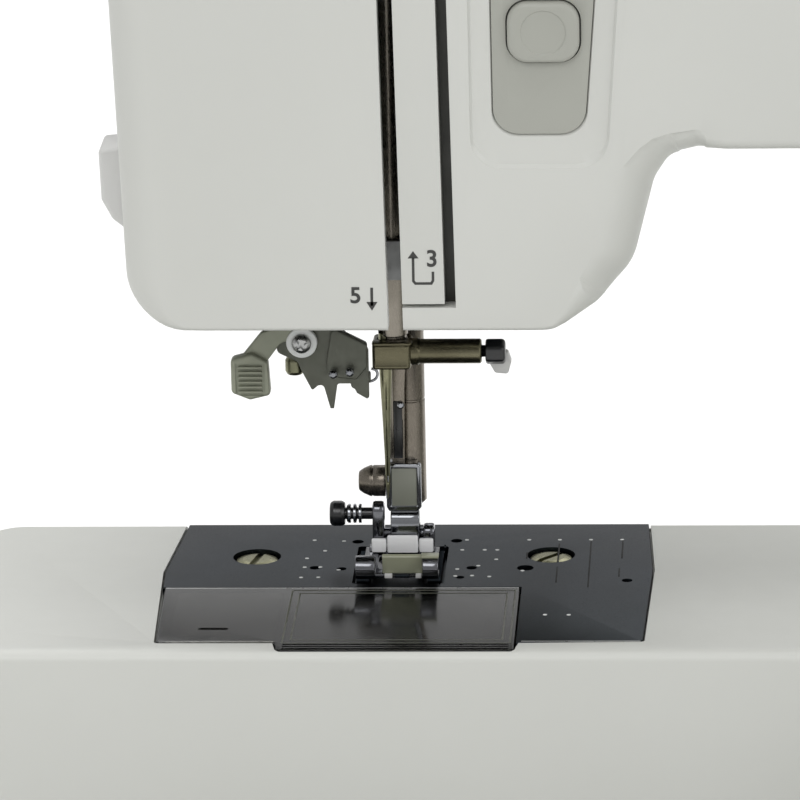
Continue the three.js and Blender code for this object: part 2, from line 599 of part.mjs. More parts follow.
function presser() {
  const group = new THREE.Group();
  const barAxis = [presserBar.x, presserBar.y];
  part(group, "presser_bar", joined(
    turned("z", barAxis, [
      [0, presserBar.bottom], [1.6, presserBar.bottom], [presserBar.radius, presserBar.bottom + 1.4],
      [presserBar.radius, presserBar.top], [0, presserBar.top],
    ], 20),
    rod("z", barAxis, 5.5, [82, 85], 20),
    block([-0.8, 5.2], [13, 36], [82, 85]),
  ), darkSteel());
  part(group, "presser_spring", tube("z", barAxis, 3.5, 5, [85.3, 127.7], 16), steel());
  part(group, "presser_lifter", joined(
    turned("y", [lifterPivot.x, lifterPivot.z], [
      [0, 23], [2.5, 23], [2.5, 31], [6, 31], [6, 37], [4, 37], [4, 63], [0, 63],
    ], 16),
    rod("y", [lifterPivot.x, lifterPivot.z], 6.5, [62.4, 66], 20),
    prism("y", [
      [lifterPivot.x - 5, lifterPivot.z - 1], [lifterPivot.x + 12, lifterPivot.z - 33, 3],
      [lifterPivot.x + 22, lifterPivot.z - 30, 3], [lifterPivot.x + 6, lifterPivot.z + 2],
    ], [62.4, 66]),
  ), greyPlastic());

  part(group, "foot_holder", cut(joined(
    block([-2.9, 3.9], [4.2, 6.9], [9, 20.2]),
    block([-4.2, -1.2], [4.2, 13.6], [12.4, 20.2]),
    block([-2, 3.9], [4.2, 7.8], [6.9, 9.5]),
    block([-2, 3.9], [4.2, 4.8], [3.7, 7]),
    block([-2, 3.9], [7.2, 7.8], [3.7, 7]),
  ), rod("x", [10, 15.2], 1.8, [-6, 0], 12)), chrome());
  part(group, "foot_screw", turned("x", [10, 15.2], [
    [0, -8.6], [2.4, -8.6], [2.9, -8], [3.4, -5.4], [3.4, -4.6], [1.5, -4.6], [1.5, -1.4], [0, -1.4],
  ], 20), darkSteel());

  const ear = (from, to, top) => block([from, to], [4, 8], [2, top]);
  part(group, "presser_foot", cut(joined(
    prism("z", [
      [-8.7, -11, 2], [-7, -13.2, 1], [-2, -13.2, 1], [-2, -5], [2.6, -5], [2.6, -13.2, 1], [6.8, -13.2, 1],
      [8.3, -11, 2], [8.3, 7.4, 1], [-8.7, 7.4, 1],
    ], [0.9, 2.6]),
    ear(-5.7, -3.3, 12), ear(4.4, 7.1, 7.2),
    rod("x", [footHinge.y, footHinge.z], 1, [-4, 5], 12),
  ),
  block([-4.4, 4.6], [-3, 2], [0, 4]),
  rod("x", [footHinge.y, 9.5], 1.5, [-7, -3], 12)), chrome());
  part(group, "foot_level_button", joined(
    rod("x", [footHinge.y, 9.5], 1.2, [-12, -4], 12),
    rod("x", [footHinge.y, 9.5], 2.6, [-14.4, -11.3], 20),
  ), blackPlastic());
  return group;
}

// ---------------------------------------------------------------- feed and lamp

function feedAndLamp() {
  const group = new THREE.Group();
  const toothRow = ([x0, x1], [y0, y1]) => {
    const teeth = [];
    for (let y = y0; y + 1.4 < y1; y += 1.6) {
      teeth.push(prism("x", [[y, -0.4], [y + 1.4, -0.4], [y + 0.3, 0.6]], [x0, x1]));
    }
    return [block([x0, x1], [y0, y1], [-2.4, -0.3]), ...teeth];
  };
  const needleRoom = block([-3.2, 4.6], [-4, 2.2], [-12, 0]);
  part(group, "feed_dog", cut(joined(
    block([-9, 9.2], [-3.8, 11], [-5.5, -2.2]),
    ...toothRow([-8.4, -5.8], [-8, 10.5]),
    ...toothRow([6, 8.6], [-8, 10.5]),
    ...toothRow([-3.2, 3.6], [6.9, 10.5]),
  ), needleRoom), steel());
  part(group, "feed_bar", cut(joined(
    block([-14, 14], [-3.8, 11], [-5.5 - feedLift - 3.5, -5.5 - feedLift - 0.5]),
    block([-14, -10.5], [4, 11], [-20, -8]),
    block([10.5, 14], [4, 11], [-20, -8]),
  ), needleRoom), castAluminium());
  part(group, "lamp", block([10, 26], [-24, -10], [65, 69]), finish(0xf4f4ea, 0.3));
  return group;
}

// ---------------------------------------------------------------- the whole machine

machine.add(baseAndBed(), needlePlateGroup(), casing(), controls(), topFittings());
machine.add(frameAndDrive(), needleMechanism(), presser(), feedAndLamp());

// The origin moves to the middle of the footprint, on the table.
machine.position.set(-(bed.left + handWheelEnd) / 2, -(base.front + base.back) / 2, -tableHeight);

export default machine;
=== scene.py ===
"""A free-arm sewing machine, seen close at its needle. Shapes are in millimetres from the needle hole."""
import math
import bmesh
import bpy
from mathutils import Matrix, Vector


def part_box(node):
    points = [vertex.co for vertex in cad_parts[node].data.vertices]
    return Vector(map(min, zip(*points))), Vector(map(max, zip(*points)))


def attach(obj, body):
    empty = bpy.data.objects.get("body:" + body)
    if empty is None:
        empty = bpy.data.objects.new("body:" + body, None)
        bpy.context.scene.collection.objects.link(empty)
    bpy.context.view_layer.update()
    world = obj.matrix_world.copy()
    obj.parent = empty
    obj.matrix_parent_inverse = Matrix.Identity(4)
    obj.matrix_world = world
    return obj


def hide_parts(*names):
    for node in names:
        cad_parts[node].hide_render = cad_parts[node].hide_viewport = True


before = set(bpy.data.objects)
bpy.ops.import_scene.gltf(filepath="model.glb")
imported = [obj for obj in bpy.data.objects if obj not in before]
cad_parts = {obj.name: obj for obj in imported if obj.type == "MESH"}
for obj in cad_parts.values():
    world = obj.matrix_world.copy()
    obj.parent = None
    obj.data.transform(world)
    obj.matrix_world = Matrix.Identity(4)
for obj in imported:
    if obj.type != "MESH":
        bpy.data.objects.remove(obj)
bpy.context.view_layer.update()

# ------------------------------------------------------------------ places and sizes, in millimetres

ARM_LOW, ARM_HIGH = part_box("free_arm_casing")
FREE_ARM_LEFT = -88.0
FREE_ARM_BACK = 28.0
FREE_ARM_RIGHT, FREE_ARM_FRONT = 117.7, -52.0
BASE_X, BASE_Y, TABLE = (118, 282), (-98, 66), -80
# The needle hole, on top of the bed: X right, Y back and Z up are counted from it.
ORIGIN = Vector((ARM_LOW.x - FREE_ARM_LEFT / 1000, ARM_HIGH.y - FREE_ARM_BACK / 1000, ARM_HIGH.z))

FRONT, BACK, SPLIT = -30.0, 62.0, 14.0
ARM_STEP = 2.5  # the arm's face lies this far behind the head's
TOP, ARM_UNDER, HEAD_UNDER = 200.0, 94.4, 59.0
PILLAR_LEFT, PILLAR_RIGHT = 165.0, 278.0
WALL = 2.4
# Centres that several pieces share, in the plane across each one's axis.
NEEDLE, CLAMP_SCREW, THREADER_SCREW = (-2, -1), (-1, 46.1), (-18.4, 49.5)
PRESSER_BAR, FOOT_SCREW, LEVEL_BUTTON = (2.2, 10), (10, 15.2), (6, 9.5)
DIAL, TENSION_DIAL, WINDER, HANDLE_PIVOT, SHAFT_Z = (222, 122), (-20, 189), (238, 8), (26.5, 194), 168
COVER_SCREWS = ((-36, 188), (-36, 76), (262, 186), (262, 14))
PLATE_SCREWS = {"left": (-29.6, 6.5), "right": (30.5, 7.4)}


# ------------------------------------------------------------------ camera and light

AZIMUTH, ELEVATION, ROLL = math.radians(3.4), math.radians(17.3), math.radians(1.2)
CAMERA_DISTANCE = 1.2805
AIM_ABOVE_HOLE = 0.0339
LENS = 283.5


def make_camera():
    back = Vector((math.sin(AZIMUTH) * math.cos(ELEVATION), -math.cos(AZIMUTH) * math.cos(ELEVATION),
                   math.sin(ELEVATION)))
    level_right = (-back).cross(Vector((0, 0, 1))).normalized()
    level_up = level_right.cross(-back)
    right = level_right * math.cos(ROLL) - level_up * math.sin(ROLL)
    up = level_up * math.cos(ROLL) + level_right * math.sin(ROLL)
    place = ORIGIN + back * CAMERA_DISTANCE + up * AIM_ABOVE_HOLE
    data = bpy.data.cameras.new("camera")
    data.lens = LENS
    data.sensor_width = 36
    data.clip_end = 50
    camera = bpy.data.objects.new("camera", data)
    bpy.context.scene.collection.objects.link(camera)
    camera.matrix_world = Matrix((
        (right.x, up.x, back.x, place.x),
        (right.y, up.y, back.y, place.y),
        (right.z, up.z, back.z, place.z),
        (0, 0, 0, 1),
    ))
    bpy.context.scene.camera = camera


def area_light(name, place, aim, size, power):
    data = bpy.data.lights.new(name, "AREA")
    data.shape = "RECTANGLE"
    data.size, data.size_y = size
    data.energy = power
    lamp = bpy.data.objects.new(name, data)
    bpy.context.scene.collection.objects.link(lamp)
    lamp.location = place
    lamp.rotation_euler = (Vector(place) - Vector(aim)).to_track_quat("Z", "Y").to_euler()


def make_light():
    world = bpy.data.worlds.new("studio")
    bpy.context.scene.world = world
    world.use_nodes = True
    background = world.node_tree.nodes["Background"]
    background.inputs["Color"].default_value = (1.0, 1.0, 1.0, 1)
    background.inputs["Strength"].default_value = 0.55
    area_light("key", (-0.5, -1.6, 1.5), (-0.1, 0, 0.12), (1.3, 0.9), 11)
    area_light("fill", (1.4, -1.0, 0.9), (0, 0, 0.15), (1.0, 1.0), 6)
    area_light("rear", (0.1, 1.5, 1.4), (0, 0, 0.15), (1.6, 0.8), 6)
    area_light("ceiling", (0, 0.35, 1.9), (0, 0.34, 0), (2.4, 1.8), 24)
    bpy.context.scene.view_settings.view_transform = "Standard"


# ------------------------------------------------------------------ materials

class Nodes:
    """Short names for building one material's node tree."""

    def __init__(self, name):
        self.material = bpy.data.materials.new(name)
        self.material.use_nodes = True
        self.tree = self.material.node_tree
        self.shader = self.tree.nodes["Principled BSDF"]
        coordinates = self.tree.nodes.new("ShaderNodeTexCoord")
        self.place = coordinates.outputs["Object"]

    def node(self, kind, **inputs):
        made = self.tree.nodes.new(kind)
        for key, value in inputs.items():
            self.put(made, key, value)
        return made

    def put(self, target, key, value):
        socket = target.inputs[key]
        if isinstance(value, bpy.types.NodeSocket):
            self.tree.links.new(value, socket)
        else:
            socket.default_value = value

    def stretched(self, scale):
        return self.node("ShaderNodeMapping", Vector=self.place, Scale=scale).outputs["Vector"]

    def noise(self, scale, detail=3.0, vector=None):
        made = self.node("ShaderNodeTexNoise", Vector=vector or self.place, Scale=scale, Detail=detail)
        return made.outputs["Fac"]

    def ramp(self, factor, low, high, start=0.35, end=0.65):
        made = self.tree.nodes.new("ShaderNodeValToRGB")
        self.tree.links.new(factor, made.inputs["Fac"])
        made.color_ramp.elements[0].position = start
        made.color_ramp.elements[1].position = end
        made.color_ramp.elements[0].color = low
        made.color_ramp.elements[1].color = high
        return made.outputs["Color"]

    def remap(self, factor, low, high, start=0.3, end=0.7):
        made = self.node("ShaderNodeMapRange", Value=factor)
        for key, value in (("From Min", start), ("From Max", end), ("To Min", low), ("To Max", high)):
            self.put(made, key, value)
        return made.outputs["Result"]

    def bump(self, height, strength, distance):
        made = self.node("ShaderNodeBump", Height=height, Strength=strength, Distance=distance)
        self.put(self.shader, "Normal", made.outputs["Normal"])


def linear(*srgb):
    """An sRGB colour, 0 to 255, as a linear one."""
    return tuple((c / 255 / 12.92 if c <= 10 else ((c / 255 + 0.055) / 1.055) ** 2.4) for c in srgb) + (1,)


def moulded(name, light, dark, roughness, grain=0.000012, coat=0.0):
    """Moulded plastic: a fine spark-eroded grain, slight cloudiness in colour and gloss."""
    n = Nodes(name)
    n.put(n.shader, "Base Color", n.ramp(n.noise(9, 4), linear(*dark), linear(*light)))
    n.put(n.shader, "Roughness", n.remap(n.noise(140, 3), roughness - 0.05, roughness + 0.05))
    n.shader.inputs["Coat Weight"].default_value = coat
    n.shader.inputs["Coat Roughness"].default_value = 0.25
    n.bump(n.noise(2600, 2), 0.35, grain)
    return n.material


def metal(name, light, dark, roughness, stretch=(1, 1, 1), scale=900, scratch=0.000006, patchy=60,
          amount=1.0,
          edge=1.0):
    """Bare or plated metal: fine lines along the stretched direction, with patches of duller finish."""
    n = Nodes(name)
    lines = n.noise(scale, 4, n.stretched(stretch))
    n.put(n.shader, "Base Color", n.ramp(n.noise(patchy, 5), linear(*dark), linear(*light)))
    n.put(n.shader, "Roughness", n.remap(lines, roughness * 0.75, roughness * 1.3))
    n.shader.inputs["Metallic"].default_value = amount
    n.shader.inputs["Specular Tint"].default_value = (edge, edge, edge, 1)
    n.bump(lines, 0.3, scratch)
    return n.material


def clear(name, tint, roughness, ior=1.49, edge=1.0):
    """Clear or smoked plastic, with faint moulding waves and haze."""
    n = Nodes(name)
    colour = linear(*tint)
    n.put(n.shader, "Base Color", n.ramp(n.noise(14, 2), colour, tuple(c * 0.92 for c in colour[:3]) + (1,)))
    n.put(n.shader, "Roughness", n.remap(n.noise(120, 3), roughness * 0.6, roughness * 1.6))
    n.shader.inputs["Transmission Weight"].default_value = 1.0
    n.shader.inputs["IOR"].default_value = ior
    n.shader.inputs["Specular Tint"].default_value = (edge, edge, edge, 1)
    n.bump(n.noise(60, 2), 0.2, 0.00001)
    return n.material


def make_materials():
    return {
        "shell": moulded("shell_plastic", (198, 199, 194), (194, 195, 190), 0.42),
        "panel": moulded("panel_plastic", (160, 161, 153), (155, 156, 148), 0.4),
        "cutter": moulded("cutter_plastic", (206, 206, 204), (200, 200, 198), 0.38),
        "black": moulded("black_plastic", (24, 25, 27), (17, 18, 20), 0.3, coat=0.3),
        "rubber": moulded("rubber", (38, 38, 37), (28, 28, 28), 0.8, grain=0.00003),
        "ink": moulded("print_ink", (52, 52, 50), (46, 46, 44), 0.5),
        "white_ink": moulded("white_ink", (226, 228, 226), (206, 208, 206), 0.5),
        "olive": metal("threader_metal", (146, 149, 132), (133, 136, 120), 0.42, amount=0.2),
        "olive_dark": metal("bracket_metal", (94, 96, 86), (82, 84, 74), 0.42, amount=0.3),
        # Pin blocks: chrome parts given a bright white colour, a painted reflection of the white
        # surroundings.
        "painted_reflection_white": moulded("white_reflection_paint", (247, 247, 247), (240, 240, 241), 0.2, coat=0.4),
        "label": moulded("label_metal", (136, 138, 127), (129, 131, 120), 0.35),
        "dark_inside": moulded("inside_plastic", (58, 58, 54), (40, 40, 38), 0.5),
        "plate": metal("plate_steel", (50, 55, 60), (45, 50, 54), 0.34, (6, 90, 6), 260,
                       0.000004, edge=0.87),
        "smoke": clear("smoked_cover", (98, 98, 93), 0.14, edge=0.5),
        "clear": clear("clear_plastic", (228, 232, 230), 0.06),
        "foot_clear": moulded("foot_plastic", (162, 164, 142), (148, 150, 128), 0.25, coat=0.4),
        "chrome": metal("chrome", (150, 152, 156), (122, 124, 128), 0.09, patchy=30),
        "foot_chrome": metal("foot_chrome", (118, 119, 123), (94, 95, 99), 0.12, patchy=30),
        "satin": metal("satin_steel", (196, 197, 196), (170, 171, 170), 0.3, scale=500),
        "steel": metal("ground_steel", (150, 144, 134), (118, 113, 104), 0.26, (60, 60, 3), 300),
        "dark_steel": metal("dark_steel", (134, 127, 117), (112, 106, 97), 0.28, (40, 40, 3), 300),
        "bronze": metal("bronze_plate", (112, 108, 88), (92, 88, 70), 0.3, (3, 60, 60), 300),
        "brass": metal("brass_plate", (150, 148, 120), (112, 112, 92), 0.33),
        "cast": metal("cast_alloy", (150, 151, 150), (120, 121, 121), 0.5, scale=400, scratch=0.00004),
        "board": moulded("glass_fibre_board", (48, 96, 62), (38, 82, 52), 0.35),
        "lens": moulded("lamp_lens", (242, 242, 234), (234, 234, 226), 0.3),
    }


# ------------------------------------------------------------------ mesh kit

def new_object(name, verts, faces, material, smooth=32.0):
    """An object from points in millimetres round the needle hole."""
    mesh = bpy.data.meshes.new(name)
    mesh.from_pydata([ORIGIN + Vector(v) / 1000 for v in verts], [], faces)
    obj = bpy.data.objects.new(name, mesh)
    bpy.context.scene.collection.objects.link(obj)
    if material:
        mesh.materials.append(MATERIALS[material])
    tidy_normals(obj, smooth)
    return obj


def tidy_normals(obj, smooth):
    bm = bmesh.new()
    bm.from_mesh(obj.data)
    bmesh.ops.remove_doubles(bm, verts=bm.verts, dist=2e-7)
    bmesh.ops.recalc_face_normals(bm, faces=bm.faces)
    bm.to_mesh(obj.data)
    bm.free()
    obj.data.shade_smooth()
    obj.data.set_sharp_from_angle(angle=math.radians(smooth))


def outline(corners, steps=6, closed=True):
    """Points through corners (u, v, radius), each corner with a radius rounded by an arc."""
    points = []
    count = len(corners)
    for i, corner in enumerate(corners):
        here = Vector(corner[:2])
        radius = corner[2] if len(corner) > 2 else 0
        if not radius or (not closed and i in (0, count - 1)):
            points.append(here)
            continue
        before = (Vector(corners[i - 1][:2]) - here).normalized()
        after = (Vector(corners[(i + 1) % count][:2]) - here).normalized()
        half = before.angle(after) / 2
        centre = here + (before + after).normalized() * radius / math.sin(half)
        start = here + before * radius / math.tan(half) - centre
        end = here + after * radius / math.tan(half) - centre
        turn = math.atan2(start.x * end.y - start.y * end.x, start.dot(end))
        for k in range(steps + 1):
            angle = turn * k / steps
            turned = Vector((start.x * math.cos(angle) - start.y * math.sin(angle),
                             start.x * math.sin(angle) + start.y * math.cos(angle)))
            points.append(centre + turned)
    return points


def rectangle(u, v, radius=0.0):
    return [(u[0], v[0], radius), (u[1], v[0], radius), (u[1], v[1], radius), (u[0], v[1], radius)]


def place(axis, u, v, along):
    """A point from its outline coordinates: XY pushed along z, XZ along y, YZ along x."""
    return {"z": (u, v, along), "y": (u, along, v), "x": (along, u, v)}[axis]


def signed_area(points):
    return sum(a.x * b.y - a.y * b.x for a, b in zip(points, points[1:] + points[:1])) / 2


def offset(points, distance):
    """A closed outline moved inwards by one distance, or by one distance per point."""
    count = len(points)
    inwards = 1 if signed_area(points) > 0 else -1
    distances = [distance] * count if isinstance(distance, (int, float)) else distance
    moved = []
    for i, here in enumerate(points):
        a = (here - points[i - 1]).normalized()
        b = (points[(i + 1) % count] - here).normalized()
        normal = Vector((-(a.y + b.y), a.x + b.x)) * inwards
        normal.normalize()
        miter = max(0.4, normal.dot(Vector((-a.y, a.x)) * inwards))
        moved.append(here + normal * distances[i] / miter)
    return moved


def walls(count, rings):
    """The four-sided faces between each ring of points and the next."""
    faces = []
    for low in range(0, (rings - 1) * count, count):
        for i in range(count):
            j = (i + 1) % count
            faces.append((low + i, low + j, low + count + j, low + count + i))
    return faces


def loft(name, rings, material, smooth=32.0):
    """A skin over rings of 3-D points, with its ends closed."""
    count = len(rings[0])
    verts = [p for ring in rings for p in ring]
    faces = walls(count, len(rings))
    faces.append(tuple(reversed(range(count))))
    faces.append(tuple(range((len(rings) - 1) * count, len(rings) * count)))
    return new_object(name, verts, faces, material, smooth)


def rounded_prism(name, axis, corners, ends, material, radii=(0.3, 0.3), steps=6, arc=3, smooth=32.0):
    """An outline pushed along an axis, its two end edges rounded."""
    least = 1.2 * max(radii)
    points = outline([(u, v, max(r[0], least)) if r and r[0] else (u, v) for u, v, *r in corners], steps)
    rings = []
    for end, (along, radius) in enumerate(zip(ends, radii)):
        part = []
        inward = 1 if end == 0 else -1
        for k in range(arc + 1):
            angle = math.pi / 2 * k / arc
            inset, depth = radius * (1 - math.sin(angle)), radius * (1 - math.cos(angle))
            ring = offset(points, inset) if inset > 1e-6 else points
            part.append([place(axis, p.x, p.y, along + inward * depth) for p in ring])
            if radius == 0:
                break
        rings += part if end == 0 else part[::-1]
    return loft(name, rings, material, smooth=smooth)


def box(name, x, y, z, material, radius=0.3, axis="z", corner=None, arc=2):
    """A block with all its edges rounded."""
    ranges = {"z": (x, y, z), "y": (x, z, y), "x": (y, z, x)}[axis]
    return rounded_prism(name, axis, rectangle(ranges[0], ranges[1], corner or 1.25 * radius), ranges[2],
                         material,
                         (radius, radius), 3, arc)


def circle(count):
    """Evenly spaced angles round a full turn."""
    return [2 * math.pi * k / count for k in range(count)]


def lathe(name, axis, centre, profile, material, sides=64, smooth=32.0, steps=3):
    """A turned piece. The profile runs (radius, along, corner radius) and starts and ends on the axis."""
    points = outline(profile, steps, closed=False)
    ring = [p for p in points if p.x > 1e-6]
    verts, faces = [], walls(sides, len(ring))
    for p in ring:
        for angle in circle(sides):
            u, v = centre[0] + p.x * math.cos(angle), centre[1] + p.x * math.sin(angle)
            verts.append(place(axis, u, v, p.y))
    if points[0].x <= 1e-6:
        faces.append(tuple(range(sides)))
        faces.append(tuple(reversed(range((len(ring) - 1) * sides, len(ring) * sides))))
    else:
        last = (len(ring) - 1) * sides
        faces += [(last + k, last + (k + 1) % sides, (k + 1) % sides, k) for k in range(sides)]
    return new_object(name, verts, faces, material, smooth)


def rod(name, axis, centre, radius, ends, material, bevel=0.2, sides=40):
    low, high = ends
    profile = [(0, low), (radius, low, bevel), (radius, high, bevel), (0, high)]
    return lathe(name, axis, centre, profile, material, sides)


def plug(axis, centre, radius, ends, sides=32):
    """A plain round bar, for cutting or joining."""
    return rod("plug", axis, centre, radius, ends, None, 0, sides)


def plugs_round(axis, centre, reach, count, radius, ends, sides):
    """Plugs spaced evenly round a centre."""
    return [plug(axis, (centre[0] + reach * math.cos(angle), centre[1] + reach * math.sin(angle)), radius,
                 ends, sides)
            for angle in circle(count)]


def wire(name, path, radius, material, sides=12):
    """A round wire along a path of points."""
    points = [Vector(p) for p in path]
    rings = []
    normal = None
    for i, here in enumerate(points):
        direction = (points[min(i + 1, len(points) - 1)] - points[max(i - 1, 0)]).normalized()
        if normal is None:
            normal = direction.orthogonal().normalized()
        normal = (normal - direction * normal.dot(direction)).normalized()
        side = direction.cross(normal)
        rings.append([tuple(here + (normal * math.cos(a) + side * math.sin(a)) * radius)
                      for a in circle(sides)])
    return loft(name, rings, material, 50)


def boolean(obj, tools, operation="DIFFERENCE"):
    """Cuts or joins with other objects, which are used up."""
    for tool in tools:
        modifier = obj.modifiers.new("cut", "BOOLEAN")
        modifier.object = tool
        modifier.operation = operation
        modifier.solver = "MANIFOLD"
    bake(obj)
    for tool in tools:
        bpy.data.objects.remove(tool)


def bake(obj):
    """Applies an object's modifiers."""
    graph = bpy.context.evaluated_depsgraph_get()
    mesh = bpy.data.meshes.new_from_object(obj.evaluated_get(graph))
    obj.modifiers.clear()
    old = obj.data
    obj.data = mesh
    bpy.data.meshes.remove(old)


def bevel(obj, width, angle=50, segments=2, smooth=32.0):
    """Breaks the sharp edges that cutting left."""
    bm = bmesh.new()
    bm.from_mesh(obj.data)
    bmesh.ops.dissolve_degenerate(bm, edges=bm.edges, dist=1e-6)
    bm.to_mesh(obj.data)
    bm.free()
    modifier = obj.modifiers.new("bevel", "BEVEL")
    modifier.width = width / 1000
    modifier.segments = segments
    modifier.limit_method = "ANGLE"
    modifier.angle_limit = math.radians(angle)
    bake(obj)
    tidy_normals(obj, smooth)
    return obj


def finish_piece(obj, body, slot, *nodes):
    """Puts a piece on the body it rides on and hides the CAD nodes that it stands for; the finish it is
    given is not used.
    """
    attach(obj, body)
    if nodes:
        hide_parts(*nodes)


def cutter(x, y, z):
    """A plain block for cutting."""
    verts = [(a, b, c) for a in x for b in y for c in z]
    faces = [(0, 1, 3, 2), (4, 6, 7, 5), (0, 4, 5, 1), (2, 3, 7, 6), (0, 2, 6, 4), (1, 5, 7, 3)]
    return new_object("cutter", verts, faces, None)


def prism_cutter(axis, corners, ends, steps=6):
    points = outline(corners, steps)
    rings = [[place(axis, p.x, p.y, along) for p in points] for along in ends]
    return loft("cutter", rings, None)


# ------------------------------------------------------------------ head, arm and pillar covers

CREASE_FOOT = (42.6, 94.0)  # where the ridge on the head's face leaves its rounded edge
CREASE_SLOPE = 0.121
ARM_FLAT = 68.0  # right of here, the whole face is the arm's
BLEND_WIDTH = 24.0


def left_edge(z):
    return -51.2 - 4.2 * (z - 68) / (TOP - 68)


def cover_outline():
    """Front view of the head, arm and pillar."""
    corners = [
        (left_edge(HEAD_UNDER), HEAD_UNDER, 11.5), (33.0, HEAD_UNDER - 0.2, 9), (42.2, 63.8, 8),
        (48.5, 71.0, 11),
        (52.7, 87.6, 9), (56.0, 92.8, 5), (62.0, ARM_UNDER, 6), (PILLAR_LEFT, ARM_UNDER, 18),
        (PILLAR_LEFT, 0.3), (PILLAR_RIGHT, 0.3), (PILLAR_RIGHT, TOP, 14),
        (left_edge(TOP), TOP, 16),
    ]
    points = outline(corners, 10)
    return refine(points, 4.0)


def refine(points, longest):
    """Breaks long straight stretches, so that a value can change along them."""
    result = []
    for here, after in zip(points, points[1:] + points[:1]):
        pieces = max(1, math.ceil((after - here).length / longest))
        result += [here.lerp(after, k / pieces) for k in range(pieces)]
    return result


def averaged(values, points, reach):
    """Values smoothed along a closed outline, over a reach on both sides."""
    count = len(points)
    lengths = [(points[(i + 1) % count] - points[i]).length for i in range(count)]
    result = []
    for i in range(count):
        total, weight = values[i] * lengths[i], lengths[i]
        for direction in (1, -1):
            walked, j = 0.0, i
            while walked < reach:
                step = lengths[j] if direction > 0 else lengths[j - 1]
                walked += max(step, 1e-3)
                j = (j + direction) % count
                share = max(0.0, 1 - walked / reach) * max(step, 1e-3)
                total, weight = total + values[j] * share, weight + share
        result.append(total / weight)
    return result


CREASE_START = math.radians(38)  # the rounded edge leaves the face at this angle, so a crease shows


def on_crease(p):
    """Whether the outline lies beside the crease at the head's lower right."""
    return 40 < p.x < 58 and p.y < 100


def edge_rounding(p):
    """(inset, depth) of the rounded front edge at a point of the outline."""
    if p.y < 1:
        return 0.4, 0.4
    if p.x < -45 or p.y > TOP - 12:
        return 7.0, 6.0
    if p.x > PILLAR_RIGHT - 10:
        return 5.0, 5.0
    if p.y < 10:
        return 0.4, 0.4
    if on_crease(p):
        return 7.4, 9.5
    if 36 < p.x <= 40:
        return 2.5, 3.0
    if p.x < 60:
        return 1.0, 1.2
    return 2.2, 2.2


def front_cover_solid():
    points = cover_outline()
    insets = averaged([edge_rounding(p)[0] for p in points], points, 9)
    depths = averaged([edge_rounding(p)[1] for p in points], points, 9)
    starts = averaged([CREASE_START if on_crease(p) else 0.0 for p in points], points, 5)
    ridge_top = Vector((CREASE_FOOT[0] + (TOP - CREASE_FOOT[1]) * CREASE_SLOPE, TOP))
    inner = offset(points, insets)

    def nearest(target, candidates):
        return min(candidates, key=lambda i: (inner[i] - target).length)

    indices = range(len(points))
    low_start = nearest(Vector(CREASE_FOOT), indices)
    low_end = nearest(Vector((ARM_FLAT, 98.0)), indices)
    high_start = nearest(ridge_top, indices)
    high_end = nearest(ridge_top + Vector((BLEND_WIDTH, 0)), indices)
    count = len(points)

    def share(p):
        """0 on the head's face, 1 on the arm's, eased between."""
        ridge = CREASE_FOOT[0] + (p.y - CREASE_FOOT[1]) * CREASE_SLOPE
        t = min(1.0, max(0.0, (p.x - ridge) / BLEND_WIDTH))
        return t * t * (3 - 2 * t)

    back_offsets = [ARM_STEP * share(p) if p.y > 90 else 0.0 for p in inner]
    for i in indices:
        if inner[i].x > ARM_FLAT:
            back_offsets[i] = ARM_STEP
    back_offsets = averaged(back_offsets, points, 3)
    for i in indices:
        if inner[i].x > ARM_FLAT + 4:
            back_offsets[i] = ARM_STEP
        if inner[i].x < CREASE_FOOT[0]:
            back_offsets[i] = 0.0

    rings = []
    arc = 8
    for k in range(arc + 1):
        angles = [first + (math.pi / 2 - first) * k / arc for first in starts]
        ring = offset(points, [reach * (1 - math.sin(angle)) / (1 - math.sin(first))
                               for reach, angle, first in zip(insets, angles, starts)])
        drops = [depth * (1 - math.cos(angle) / math.cos(first))
                 for depth, angle, first in zip(depths, angles, starts)]
        rings.append([(p.x, FRONT + back_offsets[i] + drops[i], p.y) for i, p in enumerate(ring)])
    rim = 0.5
    rings.append([(p.x, SPLIT - rim, p.y) for p in points])
    rings.append([(p.x, SPLIT, p.y) for p in offset(points, rim)])

    verts = [v for ring in rings for v in ring]
    faces = walls(count, len(rings))
    last = (len(rings) - 1) * count
    faces.append(tuple(last + i for i in range(count)))

    # The face: head, blend and arm. The blend is a grid between the ridge and the arm's flat.
    columns = 8
    rows = 24

    def walk(start, end):
        """Outline indices from start to end, going round."""
        path = [start]
        while path[-1] != end:
            path.append((path[-1] + 1) % count)
        return path

    low_path = walk(low_start, low_end)
    high_path = walk(high_end, high_start)[::-1]
    columns = min(columns, len(low_path) - 1, len(high_path) - 1)
    low_pick = [low_path[round(k * (len(low_path) - 1) / columns)] for k in range(columns + 1)]
    high_pick = [high_path[round(k * (len(high_path) - 1) / columns)] for k in range(columns + 1)]
    grid = []
    for k in range(columns + 1):
        column = [low_pick[k]]
        a, b = inner[low_pick[k]], inner[high_pick[k]]
        for r in range(1, rows):
            p = a.lerp(b, r / rows)
            verts.append((p.x, FRONT + ARM_STEP * share(p), p.y))
            column.append(len(verts) - 1)
        column.append(high_pick[k])
        grid.append(column)
    for k in range(columns):
        for r in range(rows):
            faces.append((grid[k][r], grid[k + 1][r], grid[k + 1][r + 1], grid[k][r + 1]))
        low_between = walk(low_pick[k], low_pick[k + 1])
        if len(low_between) > 2:
            faces.append(tuple(low_between))
        high_between = walk(high_pick[k + 1], high_pick[k])
        if len(high_between) > 2:
            faces.append(tuple(high_between))
    faces.append(tuple(walk(low_end, high_end) + grid[-1][1:-1][::-1]))
    faces.append(tuple(walk(high_start, low_start) + grid[0][1:-1]))
    return new_object("front_cover", verts, faces, "shell", 28)


